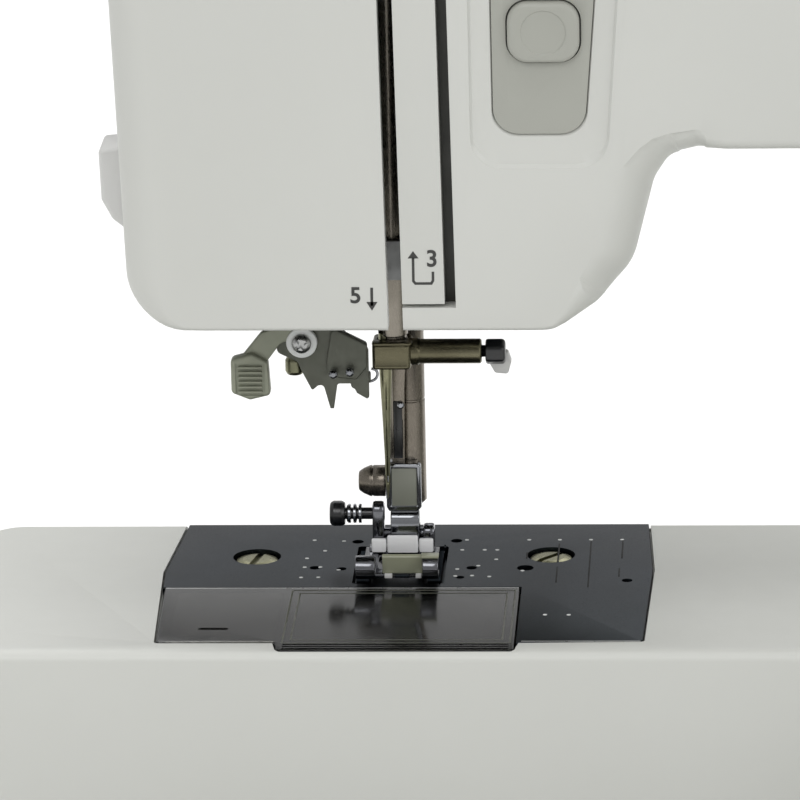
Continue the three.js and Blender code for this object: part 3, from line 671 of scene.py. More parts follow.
def inner_prism(points, distance, ends):
    ring = offset(points, distance)
    return loft("inner", [[(p.x, along, p.y) for p in ring] for along in ends], None)


def slot_prism(heights, sides, ends):
    """An upright thread slot, cut in from the front; it leans a little to the left going up."""
    low, high = heights
    left, right = sides
    lean_low, lean_high = -0.014 * (low - HEAD_UNDER), -0.014 * (high - HEAD_UNDER)
    return prism_cutter("y", [(left + lean_low, low), (right + lean_low, low),
                              (right + lean_high, high), (left + lean_high, high)], ends)


def panel_outline(margin):
    """The control panel's opening, drawn in by a margin; it widens more below than at the sides."""
    radius = 5 - 0.3 * min(0, margin)
    low = 98.4 + margin * (1 if margin > 0 else 1.5)
    return [(21.2 + margin, 171 - margin, radius), (21.6 + margin, low, radius),
            (39.4 - margin, low, radius), (45 - margin, 171 - margin, radius)]


def panel_recess():
    """Cutter for the panel's recess: wide at the face, with sloping sides, then the opening."""
    rings = []
    for margin, depth in ((-4.6, -1), (-4.4, 0.1), (-3.9, 0.75), (-2.6, 1.05), (-0.3, 1.2), (0.0, 1.9),
                          (0.0, 8)):
        points = outline(panel_outline(margin), 8)
        rings.append([(p.x, FRONT + depth, p.y) for p in points])
    return loft("recess", rings, None)


def make_front_cover():
    points = cover_outline()
    cover = front_cover_solid()
    hollow = inner_prism(points, WALL, (FRONT + WALL + ARM_STEP, SPLIT + 5))
    boolean(cover, [hollow])
    boolean(cover, [
        panel_recess(),
        cutter((-36, 27), (FRONT + 5, SPLIT + 5), (HEAD_UNDER - 3, HEAD_UNDER + WALL + 1)),
        cutter((-80, -48), (-12.4, SPLIT + 5), (95.6, 186.4)),
        slot_prism((HEAD_UNDER - 3, 193), (0.4, 3.4), (FRONT - 10, FRONT + 9)),
        slot_prism((63.7, 64.5), (0.4, 13.9), (FRONT - 10, FRONT + 9)),
        slot_prism((63.7, TOP + 3), (11.7, 13.9), (FRONT - 10, FRONT + 14)),
        cutter((-27, -17), (-45, -5), (174, TOP + 5)),
        plug("y", DIAL, 4.6, (FRONT - 5, FRONT + 10)),
        plug("z", WINDER, 4, (TOP - 8, TOP + 4)),
        plug("x", (0, SHAFT_Z), 7, (PILLAR_RIGHT - 8, PILLAR_RIGHT + 4)),
    ])
    bevel(cover, 0.28, 40, 2, 30)
    finish_piece(cover, "machine", "shell", "front_cover")


def make_rear_cover():
    points = cover_outline()
    insets = averaged([6.0 if p.y > 4 else 0.4 for p in points], points, 8)
    rings = [[(p.x, SPLIT + 0.3, p.y) for p in offset(points, 0.5)],
             [(p.x, SPLIT + 0.8, p.y) for p in points]]
    for k in range(9):
        angle = math.pi / 2 * k / 8
        ring = offset(points, [a * (1 - math.cos(angle)) for a in insets])
        rings.append([(p.x, BACK - a * (1 - math.sin(angle)), p.y) for p, a in zip(ring, insets)])
    rings.append([(p.x, BACK, p.y) for p in offset(points, [a + 0.6 for a in insets])])
    cover = loft("rear_cover", rings, "shell")
    boolean(cover, [inner_prism(points, WALL, (SPLIT - 5, BACK - WALL))])
    trough_floor, left, right, front, back = 188, 56, 204, 20, 58
    shelf = rounded_prism("shelf", "z", rectangle((left - WALL, right + WALL), (front - WALL, back + WALL),
                                                  6),
                          (trough_floor - WALL, TOP - 0.6), None, (0, 0))
    boolean(cover, [shelf], "UNION")
    tools = [
        rounded_prism("trough", "z", rectangle((left, right), (front, back), 5), (trough_floor, TOP + 9),
                      None,
                      (1.5, 0)),
        cutter((-36, 27), (SPLIT - 5, BACK - 8), (HEAD_UNDER - 3, HEAD_UNDER + WALL + 1)),
        cutter((-80, -48), (SPLIT - 5, 48.4), (95.6, 186.4)),
        plug("y", (12, 72), 4.6, (BACK - 8, BACK + 4)),
        plug("x", HANDLE_PIVOT, 2.9, (left - 6, left + 1), 24),
        plug("x", HANDLE_PIVOT, 2.9, (right - 1, right + 6), 24),
    ]
    # Cooling slots low on the pillar's back, and the recesses of the four cover screws.
    for i in range(9):
        z = 30 + 6 * i
        tools.append(prism_cutter("y", rectangle((196, 248), (z, z + 2.6), 1.2), (BACK - 5, BACK + 5)))
    tools += [plug("y", centre, 4.2, (BACK - 1.6, BACK + 3)) for centre in COVER_SCREWS]
    boolean(cover, tools)
    bevel(cover, 0.28, 40, 2, 30)
    finish_piece(cover, "machine", "shell", "rear_cover")
    for i, centre in enumerate(COVER_SCREWS):
        screw_head(f"cover_screw_{i}", "y", centre, 3.4, (BACK - 0.3, BACK - 1.9), "steel").parent = cover


def slot_cutter(axis, centre, turn, reach, half, ends):
    """Cutter for a straight slot through a centre, turned by an angle."""
    along, across = Vector((math.cos(turn), math.sin(turn))), Vector((-math.sin(turn), math.cos(turn)))
    corners = [tuple(Vector(centre) + along * a * reach + across * b * half)
               for a, b in ((-1, -1), (1, -1), (1, 1), (-1, 1))]
    return prism_cutter(axis, corners, ends)


def screw_head(name, axis, centre, radius, ends, material, slot=0.9, turn=0.0):
    """A pan head with a cross recess. ends: (top, foot) along the axis."""
    top, foot = ends
    sign = 1 if top > foot else -1
    profile = [(0, foot), (radius, foot, 0.1), (radius, top - sign * 0.7, 0.5), (radius * 0.6, top, 0.4),
               (0, top)]
    head = lathe(name, axis, centre, profile, material, 48)
    cuts = []
    for quarter in (0, 1):
        depth = sorted((top - sign * radius * 0.42, top + sign * 3))
        cuts.append(slot_cutter(axis, centre, turn + math.pi / 2 * quarter, radius * 0.62, slot / 2, depth))
    boolean(head, cuts)
    return bevel(head, 0.08, 40, 1)


# ------------------------------------------------------------------ base, free arm and needle plate

def plate_outline(margin):
    """The dark zone of the bed, needle plate and bobbin cover together, grown by a margin."""
    m = margin
    return [(-45.3 - m, 27.4 + m), (-47.7 - m, -2.9), (-45.8 - m, -46 - m, 1), (-22.4 - m, -46 - m),
            (-21.6 - m, -50.4 - m, 1.2), (24.6 + m, -50.4 - m, 1.2), (25.4 + m, -46 - m),
            (50.1 + m, -45.4 - m, 1), (51.5 + m, -2.2), (50.2 + m, 27.4 + m)]


def cover_lid_outline(margin):
    m = margin
    return [(-46.9 - m, -12.9 + m), (-45.8 - m, -46 - m, 1), (-22.4 - m, -46 - m),
            (-21.6 - m, -50.4 - m, 1.2),
            (24.9 + m, -50.4 - m, 1.2), (24.9 + m, -12.9 + m)]


def uneven_prism(name, points, ends, radii, material, arc=5):
    """An upright prism whose end edges are rounded by a radius that changes along its outline."""
    rings = []
    for end, inward, radius in zip(ends, (1, -1), radii):
        part = [[(p.x, p.y, end) for p in offset(points, [r + 0.5 for r in radius])]]
        for k in range(arc + 1):
            angle = math.pi / 2 * k / arc
            ring = offset(points, [r * (1 - math.sin(angle)) + 1e-4 for r in radius])
            part.append([(p.x, p.y, end + inward * r * (1 - math.cos(angle))) for p, r in zip(ring, radius)])
        rings += part[::inward]
    return loft(name, rings, material)


def make_free_arm():
    points = refine(outline([(FREE_ARM_LEFT, FREE_ARM_FRONT, 9), (FREE_ARM_RIGHT, FREE_ARM_FRONT),
                             (FREE_ARM_RIGHT, FREE_ARM_BACK), (FREE_ARM_LEFT, FREE_ARM_BACK, 9)], 10), 6)
    top = averaged([0.3 if p.x > 115 else 2.2 for p in points], points, 5)
    bottom = averaged([0.3 if p.x > 115 else 3.5 for p in points], points, 5)
    casing = uneven_prism("free_arm", points, (-44, 0), (bottom, top), "shell")
    left, front, back, open_end = FREE_ARM_LEFT + WALL, FREE_ARM_FRONT + WALL, FREE_ARM_BACK - WALL, 119
    hollow = [(left, front, 6.6), (open_end, front), (open_end, back), (left, back, 6.6)]
    boolean(casing, [prism_cutter("z", hollow, (-44 + WALL, -WALL))])
    boolean(casing, [
        prism_cutter("z", plate_outline(0.3), (-1.9, 3)),
        prism_cutter("z", cover_lid_outline(0.3), (-2.7, 3)),
        cutter((-43, 47), (-44, 25.6), (-9, 3)),
    ])
    bevel(casing, 0.22, 45, 2)
    finish_piece(casing, "machine", "shell", "free_arm_casing")


SEAM_DOTS = (
    (25.7, 17), (32.0, 17), (38.4, 17), (44.8, 17), (12.9, 17), (-18.5, 17), (-12.4, 16.4), (-15.9, 10.2),
    (-19.3, 5.4), (-19.4, -0.2), (-16.2, -0.1), (-12.4, -1.9), (-19.7, -6.6), (-16.2, -6.5), (16.8, 10.6),
    (12.2, 10.6), (11.7, -1.5), (15.9, 0.6), (19.4, 4.6), (19.4, 10.6), (11.5, -5.8), (18.4, -6.2),
    (14.9, -5.6),
    (25.0, -2.6), (30.4, -29.6), (35.1, -29.7),
)
SEAM_LINES = ((32, 14.5, 3.0), (38.5, 16, -13.0), (45, 17, 5.0), (32, 0.0, -10.0), (25.6, 9.0, 5.0),
              (44.6, -1.0, -6.5))
PLATE_HOLES = ((10.8, 16.5, 1.2), (-9.5, 16, 1.2), (14.6, -0.7, 1.1), (25.5, -0.8, 1.7), (12.5, -6.6, 0.9),
               (-17.3, -0.5, 1.1), (-11.8, -1.2, 1), (46.3, -8.7, 1.1))


def make_needle_plate():
    plate = rounded_prism("needle_plate", "z", plate_outline(-0.05), (-1.6, 0), "plate", (0.1, 0.3), 6, 3)
    through = (-4, 3)
    cuts = [
        prism_cutter("z", cover_lid_outline(0.3), through),
        prism_cutter("z", rectangle((-9.2, -5), (-10.5, 13), 0.8), through),
        prism_cutter("z", rectangle((5.2, 9.4), (-10.5, 13), 0.8), through),
        prism_cutter("z", rectangle((-4, 4.4), (4.4, 13), 0.8), through),
        prism_cutter("z", rectangle((-4, 4.4), (-2.4, 1.2), 1.2), through, 10),
        cutter((8.4, 8.75), (-11.9, 13.9), (-0.22, 2)),
    ]
    cuts += [plug("z", centre, 4.9, through, 64) for centre in PLATE_SCREWS.values()]
    cuts += [plug("z", (x, y), radius, through) for x, y, radius in PLATE_HOLES]
    boolean(plate, cuts)
    bevel(plate, 0.12, 45, 1)
    finish_piece(plate, "machine", "needle_plate", "needle_plate")
    for i, (x, y0, y1) in enumerate(SEAM_LINES):
        box(f"seam_line_{i}", (x - 0.17, x + 0.17), (min(y0, y1), max(y0, y1)), (-0.1, 0.03), "rubber",
            0.02).parent = plate
    # A bright satin strip on the plate's front edge: a painted highlight where the rounded edge catches the
    # light.
    box("plate_edge_highlight", (26.2, 49.6), (-45.5, -45.1), (-0.3, 0.04), "satin", 0.04).parent = plate
    for i, (x, y) in enumerate(SEAM_DOTS):
        lathe(f"seam_dot_{i}", "z", (x, y), [(0, -0.1), (0.42, -0.1), (0.42, 0.04, 0.02), (0, 0.04)],
              "white_ink", 20).parent = plate
    for side, turn in (("left", math.radians(78)), ("right", math.radians(48))):
        shank = [(0, -8.5), (2, -8.5, 0.3), (2, -1.4), (4.4, -1.4, 0.1), (4.4, -0.75, 0.5),
                 (2.8, -0.32, 0.6), (0, -0.3)]
        screw = lathe(f"plate_screw_{side}", "z", PLATE_SCREWS[side], shank, "brass", 64)
        boolean(screw, [slot_cutter("z", PLATE_SCREWS[side], turn, 6, 0.65, (-1.25, 3))])
        bevel(screw, 0.1, 45, 1)
        finish_piece(screw, "machine", "plate_screw", f"needle_plate_screw_{side}")


def make_bobbin_cover():
    lid = rounded_prism("bobbin_cover", "z", cover_lid_outline(0), (-2.4, 0), "smoke", (0.2, 0.35), 6, 3)
    cuts = [
        cutter((-19.5, 22.5), (-46, -16), (-5, -1.1)),
        cutter((-44, -22.5), (-43.5, -15), (-5, -1.3)),
    ]
    # Long grooves along the front lip, and the finger step at its left.
    for y in (-49.4, -48.2, -47.0):
        cuts.append(cutter((-20.6, 23.8), (y - 0.3, y + 0.3), (-0.3, 2)))
    cuts.append(prism_cutter("z", rectangle((-38, -32), (-38.4, -37.2), 0.6), (-0.35, 2)))
    boolean(lid, cuts)
    bevel(lid, 0.15, 45, 1)
    finish_piece(lid, "bobbin_cover", "smoked_cover", "bobbin_cover")
    # Moulded ribs under the window, and the backing of the lid's solid left part.
    for i, (x0, x1, y) in enumerate(((-5, 15, -17.6), (-5.5, 12.5, -20.4), (-6.5, 12, -23.2),
                                     (-14.5, -10, -37.5),
                                     (15, 18.5, -37.0))):
        box(f"lid_rib_{i}", (x0, x1), (y - 0.25, y + 0.25), (-1.5, -1.15), "clear", 0.1).parent = lid
    # A bright satin strip along the lid's back edge: a painted highlight on the edge.
    box("lid_edge_highlight", (-46.6, 24.6), (-13.2, -12.95), (-0.3, 0.03), "satin", 0.04).parent = lid
    for i, (x0, x1, y0, y1) in enumerate(((-21.0, 24.2, -46.4, -14.4), (-19.4, 22.6, -44.6, -16.2))):
        frame_line = box(f"lid_frame_{i}", (x0, x1), (y0, y1), (-0.08, 0.03), "olive_dark", 0.03)
        boolean(frame_line, [cutter((x0 + 0.35, x1 - 0.35), (y0 + 0.35, y1 - 0.35), (-1, 1))])
        frame_line.parent = lid
    box("lid_backing", (-43.6, -22.9), (-43.2, -15.3), (-2.1, -1.4), "panel", 0.2).parent = lid
    for i, x in enumerate((9.4, 14.2)):
        lathe(f"lid_mark_{i}", "z", (x, -34.6), [(0.7, -1.3), (1.25, -1.3), (1.25, -1.16), (0.7, -1.16),
                                                 (0.7, -1.3)],
              "black", 24).parent = lid
        box(f"lid_stem_{i}", (x - 0.25, x + 0.25), (-33.2, -31.4), (-1.3, -1.16), "black", 0.05).parent = lid


def make_base():
    points = refine(outline(rectangle(BASE_X, BASE_Y, 12), 10), 8)
    casing = uneven_prism("base_casing", points, (-66, 0), ([1.0] * len(points), [6.0] * len(points)),
                          "shell", 7)
    hollow = rectangle((BASE_X[0] + WALL, BASE_X[1] - WALL), (BASE_Y[0] + WALL, BASE_Y[1] - WALL), 9.6)
    boolean(casing, [prism_cutter("z", hollow, (-70, -WALL - 0.4), 10)])
    boolean(casing, [
        cutter((168, 275), (-27, 59), (-12, 5)),
        cutter((110, 122), (-49, 25), (-41, -3)),
        cutter((276, 290), (7.6, 32.4), (-52.4, -31.6)),
        cutter((276, 290), (-18.6, -3.4), (-52, -32)),
        prism_cutter("y", rectangle((134, 266), (-34.2, -32.6), 0.7), (-100, -97.4)),
    ])
    bevel(casing, 0.3, 45, 2)
    finish_piece(casing, "machine", "shell", "base_casing")

    pan_points = refine(outline(rectangle((-80, BASE_X[1]), BASE_Y, 14), 10), 10)
    pan = uneven_prism("base_pan", pan_points, (-77, -66.3),
                       ([3.5] * len(pan_points), [2.2] * len(pan_points)),
                       "shell", 6)
    boolean(pan, [cutter((124, 276), (-92, 60), (-73.5, -60))])
    bevel(pan, 0.3, 60, 2)
    finish_piece(pan, "machine", "shell", "base_pan")
    for side_y, y in (("front", -78), ("rear", 46)):
        for side_x, x in (("left", -58), ("right", 258)):
            profile = [(0, -80), (5.2, -80), (5.6, -79.7), (6.2, -79.7), (6.6, -80), (8, -80, 0.5),
                       (9, -79, 0.4),
                       (9, -77.3), (0, -77.3)]
            foot = lathe(f"foot_{side_y}_{side_x}", "z", (x, y), profile, "rubber", 64)
            finish_piece(foot, "machine", "rubber", f"rubber_foot_{side_y}_{side_x}")


def make_base_fittings():
    points = outline([(275.5, -50.5), (281.2, -50.5, 1), (283.1, -47.5, 1.5), (281.6, -42, 6),
                      (282.9, -36.5, 1.5),
                      (281.2, -33.5, 1), (275.5, -33.5)], 6)
    rings = []
    for y, inset in ((-18, 0.4), (-17.6, 0), (-4.4, 0), (-4, 0.4)):
        rings.append([(p.x, y, p.y) for p in offset(points, inset)])
    switch = loft("power_switch", rings, "black")
    finish_piece(switch, "power_switch", "black_plastic", "power_switch")
    for name, z, shape in (("on", -37.5, "bar"), ("off", -46.5, "ring")):
        if shape == "bar":
            mark = box(f"switch_{name}", (281.9, 282.75), (-11.3, -10.7), (z - 1.6, z + 1.6), "white_ink",
                       0.05)
        else:
            mark = lathe(f"switch_{name}", "x", (-11, z),
                         [(1.1, 281.9), (1.7, 281.9), (1.7, 282.8), (1.1, 282.8),
                                                           (1.1, 281.9)], "white_ink", 32)
        mark.parent = switch
    frame_ring = rounded_prism("socket_shell", "x", rectangle((8, 32), (-52, -32), 2.2), (266, 281.6),
                               "black", (0.3, 0.6))
    boolean(frame_ring, [prism_cutter("x", rectangle((11, 29), (-49, -35), 3.4), (270, 290))])
    bevel(frame_ring, 0.25, 45, 2)
    finish_piece(frame_ring, "machine", "black_plastic", "inlet_socket")
    for i, y in enumerate((16, 24)):
        lathe(f"socket_pin_{i}", "x", (y, -42), [(0, 269), (1.2, 269), (1.2, 277, 0.6), (0.5, 278, 0.3),
                                                 (0, 278)],
              "chrome", 32).parent = frame_ring


# ------------------------------------------------------------------ small parts of the casing

def make_casing_parts():
    # A frame in the pillar's foot closes the gap under the covers' rounded corners.
    plinth = box("pillar_foot", (PILLAR_LEFT + 1.0, PILLAR_RIGHT - 1.0),
                 (FRONT + ARM_STEP + 1.0, BACK - 1.0), (-0.3, 5), "shell",
                 0.2, "z", 5)
    boolean(plinth, [cutter((PILLAR_LEFT + 2.2, PILLAR_RIGHT - 2.2), (FRONT + ARM_STEP + 6, BACK - 2.2),
                            (-2, 8))])
    finish_piece(plinth, "machine", "shell")
    baffle = box("slot_baffle", (8.6, 22), (-25.6, -24.4), (61.8, 196), "dark_inside", 0.3)
    finish_piece(baffle, "machine", "black_plastic")
    rings = []
    for inset, out in ((0.0, -2.6), (0.0, 0.25), (0.25, 0.75), (0.7, 0.9)):
        ring = []
        for p in outline(rectangle((-12 + inset, 48 - inset), (96 + inset, 186 - inset), 3), 8):
            ring.append((left_edge(p.y) - out, p.x, p.y))
        rings.append(ring)
    face = loft("face_cover", rings, "shell")
    boolean(face, [cutter((left_edge(110) - 3, left_edge(110) - 0.5), (12, 24), (101, 102.6))])
    bevel(face, 0.2, 45, 2)
    finish_piece(face, "machine", "shell", "face_cover")

    blade_holder = rounded_prism("thread_cutter", "y", [
        (-57.9, 89.9, 0.6), (-57.6, 79.5, 1), (-55.5, 75.5, 2), (-51.9, 72.6), (-52.5, 90.4)], (-7, 5),
                                 "cutter",
        (0.8, 0.8))
    boolean(blade_holder, [cutter((-60, -53.2), (-2.2, -0.9), (71, 84.5))])
    bevel(blade_holder, 0.15, 45, 1)
    finish_piece(blade_holder, "machine", "grey_plastic", "thread_cutter")
    box("cutter_blade", (-56.2, -52.6), (-1.75, -1.35), (76.5, 84), "chrome", 0.05).parent = blade_holder

    guide = rounded_prism("top_thread_guide", "z", rectangle((54, 66), (-14, 2), 1.2), (TOP + 0.3, 202),
                          "panel",
                          (0.1, 0.5))
    boolean(guide, [rounded_prism("wall_a", "z", rectangle((54, 57), (-14, 2), 1.0), (201, 207), None,
                                  (0.1, 0.8)),
                    rounded_prism("wall_b", "z", rectangle((54, 66), (-14, -11), 1.0), (201, 207), None,
                                  (0.1, 0.8))],
            "UNION")
    bevel(guide, 0.25, 45, 2)
    finish_piece(guide, "machine", "grey_plastic", "top_thread_guide")


def make_controls():
    panel = rounded_prism("control_panel", "y", panel_outline(0.05), (FRONT + 1.2, FRONT + 3), "panel",
                          (0.15, 0.15), 8)
    cuts = [prism_cutter("y", rectangle((24.3, 38.9), (z - 6.3, z + 6.3), 4.3), (FRONT - 3, FRONT + 6), 8)
            for z in (119, 138)]
    cuts.append(prism_cutter("y", rectangle((23.6, 40.4), (156.6, 159.4), 1.3), (FRONT - 3, FRONT + 6), 6))
    boolean(panel, cuts)
    bevel(panel, 0.25, 45, 2)
    finish_piece(panel, "machine", "grey_plastic", "control_panel")
    for name, z in (("start_button", 119), ("reverse_button", 138)):
        button = rounded_prism(name, "y", rectangle((24.6, 38.6), (z - 6, z + 6), 4),
                               (FRONT - 0.6, FRONT + 5), "panel",
                               (1.0, 0.2), 8, 5)
        dish = lathe("dish", "y", (31.6, z), [(0, FRONT - 3), (4.6, FRONT - 3), (4.4, FRONT - 0.35, 0.3),
                                              (0, FRONT - 0.15)], None, 64)
        boolean(button, [dish])
        bevel(button, 0.15, 35, 2)
        finish_piece(button, name, "grey_plastic", name)
        if name == "start_button":
            prism_face(f"{name}_mark", [(30.4, z - 1.9), (30.4, z + 1.9), (33.4, z)], FRONT - 0.12, 0.14,
                       "ink").parent = button
        else:
            path = [(33.4, z - 1.6), (33.4, z + 0.3), (32.6, z + 1.3), (30.4, z + 1.3)]
            ribbon(f"{name}_mark", path, 0.5, FRONT - 0.12, 0.14, "ink").parent = button
            prism_face(f"{name}_head", [(31.0, z + 2.4), (29.0, z + 1.3), (31.0, z + 0.2)], FRONT - 0.12,
                       0.14, "ink").parent = button
    knob = rounded_prism("speed_slider", "y", rectangle((29, 35), (154, 162), 1.5),
                         (FRONT - 1.6, FRONT + 0.9), "panel",
                         (0.7, 0.1), 6, 4)
    grooves = [cutter((30.3 + 1.1 * i, 30.7 + 1.1 * i), (FRONT - 4, FRONT - 1.1),
                      (155, 161)) for i in range(4)]
    boolean(knob, grooves)
    boolean(knob, [cutter((31, 33), (FRONT, FRONT + 6), (157, 159))], "UNION")
    bevel(knob, 0.12, 45, 1)
    finish_piece(knob, "speed_slider", "grey_plastic", "speed_slider")

    front = FRONT - 0.3
    dial_profile = [(0, -39), (14.6, -39, 0.8), (16, -38, 0.6), (17, -33, 0.8), (22.6, -32.4, 0.5),
                    (23, front, 0.2),
                    (4, front), (4, FRONT + 4.4), (0, FRONT + 4.4)]
    dial = lathe("stitch_dial", "y", DIAL, dial_profile, "panel", 160, 32, 5)
    boolean(dial, plugs_round("y", DIAL, 17.15, 36, 0.75, (-41, -33.6), 12))
    bevel(dial, 0.12, 40, 1)
    finish_piece(dial, "stitch_dial", "grey_plastic", "stitch_dial")
    box("dial_pointer", (221.6, 222.4), (-39.1, -38.85), (131, 136), "ink", 0.05).parent = dial
    for k, angle in enumerate(circle(12)):
        spot = (DIAL[0] + 20 * math.sin(angle), DIAL[1] + 20 * math.cos(angle))
        text(f"dial_number_{k}", str(k + 1), spot, 2.6, -32.72, "ink").parent = dial

    wheel = lathe("tension_dial", "x", TENSION_DIAL,
                  [(0, -26), (12.6, -26, 0.8), (14, -25, 0.4), (14, -19, 0.4),
                                                    (12.6, -18, 0.8), (0, -18)], "panel", 144, 32, 4)
    boolean(wheel, plugs_round("x", TENSION_DIAL, 14.15, 48, 0.42, (-25.2, -23.6), 10))
    finish_piece(wheel, "tension_dial", "grey_plastic", "tension_dial")


def make_top_fittings():
    handle = box("carry_handle", (60, 200), (46, 54), (190, 198), "panel", 2.2, "z", 3.9, 5)
    arms = [box("arm", x, (22.5, 53.6), (190.1, 197.9), "panel", 2.2, "z", 3.9, 5) for x in ((60.1, 68),
                                                                                             (192, 199.9))]
    boolean(handle, arms, "UNION")
    pins = [rod("pin", "x", HANDLE_PIVOT, 2.5, ends, None) for ends in ((53, 62), (198, 207))]
    boolean(handle, pins, "UNION")
    grips = [cutter((100 + 6 * i, 101.2 + 6 * i), (45, 55), (197.6, 200)) for i in range(11)]
    boolean(handle, grips)
    bevel(handle, 0.12, 50, 1)
    finish_piece(handle, "carry_handle", "grey_plastic", "carry_handle")
    spool_y, spool_z = -6, 203.6
    profile = [(0, 124), (1.9, 124, 0.8), (2.6, 126.4, 0.4), (2.6, 183), (0, 183)]
    pin = lathe("spool_pin", "x", (spool_y, spool_z), profile, "panel", 40)
    barrel = lathe("barrel", "y", (186, spool_z), [(0, -12), (3.2, -12, 0.4), (3.2, 0, 0.4), (0, 0)], None,
                   40)
    web = box("web", (180, 186), (-7.5, -4.5), (201.2, 206), None, 0.8)
    boolean(pin, [barrel, web], "UNION")
    finish_piece(pin, "spool_pin", "grey_plastic", "spool_pin")
    winder = lathe("winder_spindle", "z", WINDER, [
        (0, 186), (2.5, 186), (2.5, 200.4), (8, 200.4, 0.3), (8, 201.8, 0.6), (3, 202.4, 0.5),
        (2.6, 211, 0.6),
        (1.6, 212, 0.5), (0, 212)], "black", 64)
    boolean(winder, [cutter((237.6, 238.4), (4, 12), (204, 213))])
    bevel(winder, 0.1, 45, 1)
    finish_piece(winder, "winder_spindle", "black_plastic", "winder_spindle")


def make_hand_wheel():
    profile = [(4.9, 279), (9, 279, 0.4), (9, 283), (26, 284, 2), (31, 286, 2), (33, 290, 3), (33, 298, 2.5),
               (30, 303, 2), (27, 304, 1.2), (22, 301, 4), (12, 300, 2), (0, 300)]
    points = outline(profile, 6, closed=False)
    sides, bore_radius, bore_end = 180, 4.9, 293
    ring = [p for p in points if p.x > 1e-6]
    verts, faces = [], walls(sides, len(ring))
    for p in ring:
        for angle in circle(sides):
            grip = 0.5 * (0.5 + 0.5 * math.cos(angle * 30)) if p.x > 31.5 else 0.0
            verts.append((p.y, (p.x - grip) * math.cos(angle), SHAFT_Z + (p.x - grip) * math.sin(angle)))
    base = len(verts)
    faces.append(tuple(range(base - sides, base)))
    verts += [(bore_end, bore_radius * math.cos(a),
               SHAFT_Z + bore_radius * math.sin(a)) for a in circle(sides)]
    faces += [(k, (k + 1) % sides, base + (k + 1) % sides, base + k) for k in range(sides)]
    faces.append(tuple(range(base, base + sides)))
    wheel = new_object("hand_wheel", verts, faces, "shell")
    dimple = lathe("dimple", "x", (0, 187), [(0, 299.4), (4.2, 299.4, 1.2), (4.6, 310), (0, 310)], None, 48)
    boolean(wheel, [dimple])
    bevel(wheel, 0.4, 45, 2)
    finish_piece(wheel, "main_shaft", "shell", "hand_wheel")


# ------------------------------------------------------------------ printed marks

def prism_face(name, corners, y, thickness, material):
    return loft(name, [[(x, y, z) for x, z in corners], [(x, y + thickness, z) for x, z in corners]],
                material)


def ribbon(name, path, width, y, thickness, material):
    """A flat printed line along a path in XZ."""
    points = [Vector(p) for p in path]
    left, right = [], []
    for i, here in enumerate(points):
        before = (here - points[i - 1]).normalized() if i else (points[1] - here).normalized()
        after = (points[i + 1] - here).normalized() if i < len(points) - 1 else before
        normal = Vector((-(before.y + after.y), before.x + after.x)).normalized()
        miter = width / 2 / max(0.5, normal.dot(Vector((-before.y, before.x))))
        left.append(here + normal * miter)
        right.append(here - normal * miter)
    corners = [tuple(p) for p in left + right[::-1]]
    verts = [(x, y, z) for x, z in corners] + [(x, y + thickness, z) for x, z in corners]
    count, half = len(corners), len(left)
    faces = []
    for i in range(half - 1):
        a, b, c, d = i, i + 1, count - 2 - i, count - 1 - i
        faces.append((a, b, c, d))
        faces.append((count + d, count + c, count + b, count + a))
    for i in range(count):
        j = (i + 1) % count
        faces.append((i, j, count + j, count + i))
    return new_object(name, verts, faces, material)


def text(name, letters, centre, height, y, material):
    """Printed letters standing on a plane that faces the front."""
    curve = bpy.data.curves.new(name, "FONT")
    curve.body = letters
    curve.size = height * 1.42 / 1000
    curve.align_x = "CENTER"
    curve.align_y = "CENTER"
    curve.extrude = 0.00004
    curve.offset = 0.00009
    holder = bpy.data.objects.new(name, curve)
    bpy.context.scene.collection.objects.link(holder)
    graph = bpy.context.evaluated_depsgraph_get()
    mesh = bpy.data.meshes.new_from_object(holder.evaluated_get(graph))
    bpy.data.objects.remove(holder)
    turn = Matrix.Rotation(math.pi / 2, 4, "X")
    mesh.transform(Matrix.Translation(ORIGIN + Vector((centre[0], y, centre[1])) / 1000) @ turn)
    obj = bpy.data.objects.new(name, mesh)
    bpy.context.scene.collection.objects.link(obj)
    mesh.materials.clear()
    mesh.materials.append(MATERIALS[material])
    bm = bmesh.new()
    bm.from_mesh(mesh)
    bmesh.ops.remove_doubles(bm, verts=bm.verts, dist=1e-7)
    bm.to_mesh(mesh)
    bm.free()
    return obj


def make_prints():
    front = FRONT - 0.03
    marks = [
        text("mark_five", "5", (-5.8, 66.2), 3.2, front, "ink"),
        ribbon("mark_arrow", [(-2.6, 67.9), (-2.62, 64.2)], 0.55, front, 0.06, "ink"),
        prism_face("mark_arrow_head", [(-3.7, 65.0), (-1.52, 65.0), (-2.62, 63.2)], front, 0.06, "ink"),
        text("mark_three", "3", (9.3, 73.6), 3.3, front, "ink"),
        ribbon("mark_turn", [(9.46, 71.1), (9.44, 69.3), (9.1, 68.7), (6.0, 68.7), (5.6, 69.2),
                             (5.62, 74.0)], 0.52, front,
               0.06, "ink"),
        prism_face("mark_turn_head", [(4.55, 73.8), (6.7, 73.8), (5.63, 75.3)], front, 0.06, "ink"),
    ]
    for mark in marks:
        finish_piece(mark, "machine", "black_plastic")


# ------------------------------------------------------------------ needle bar, clamp and threader

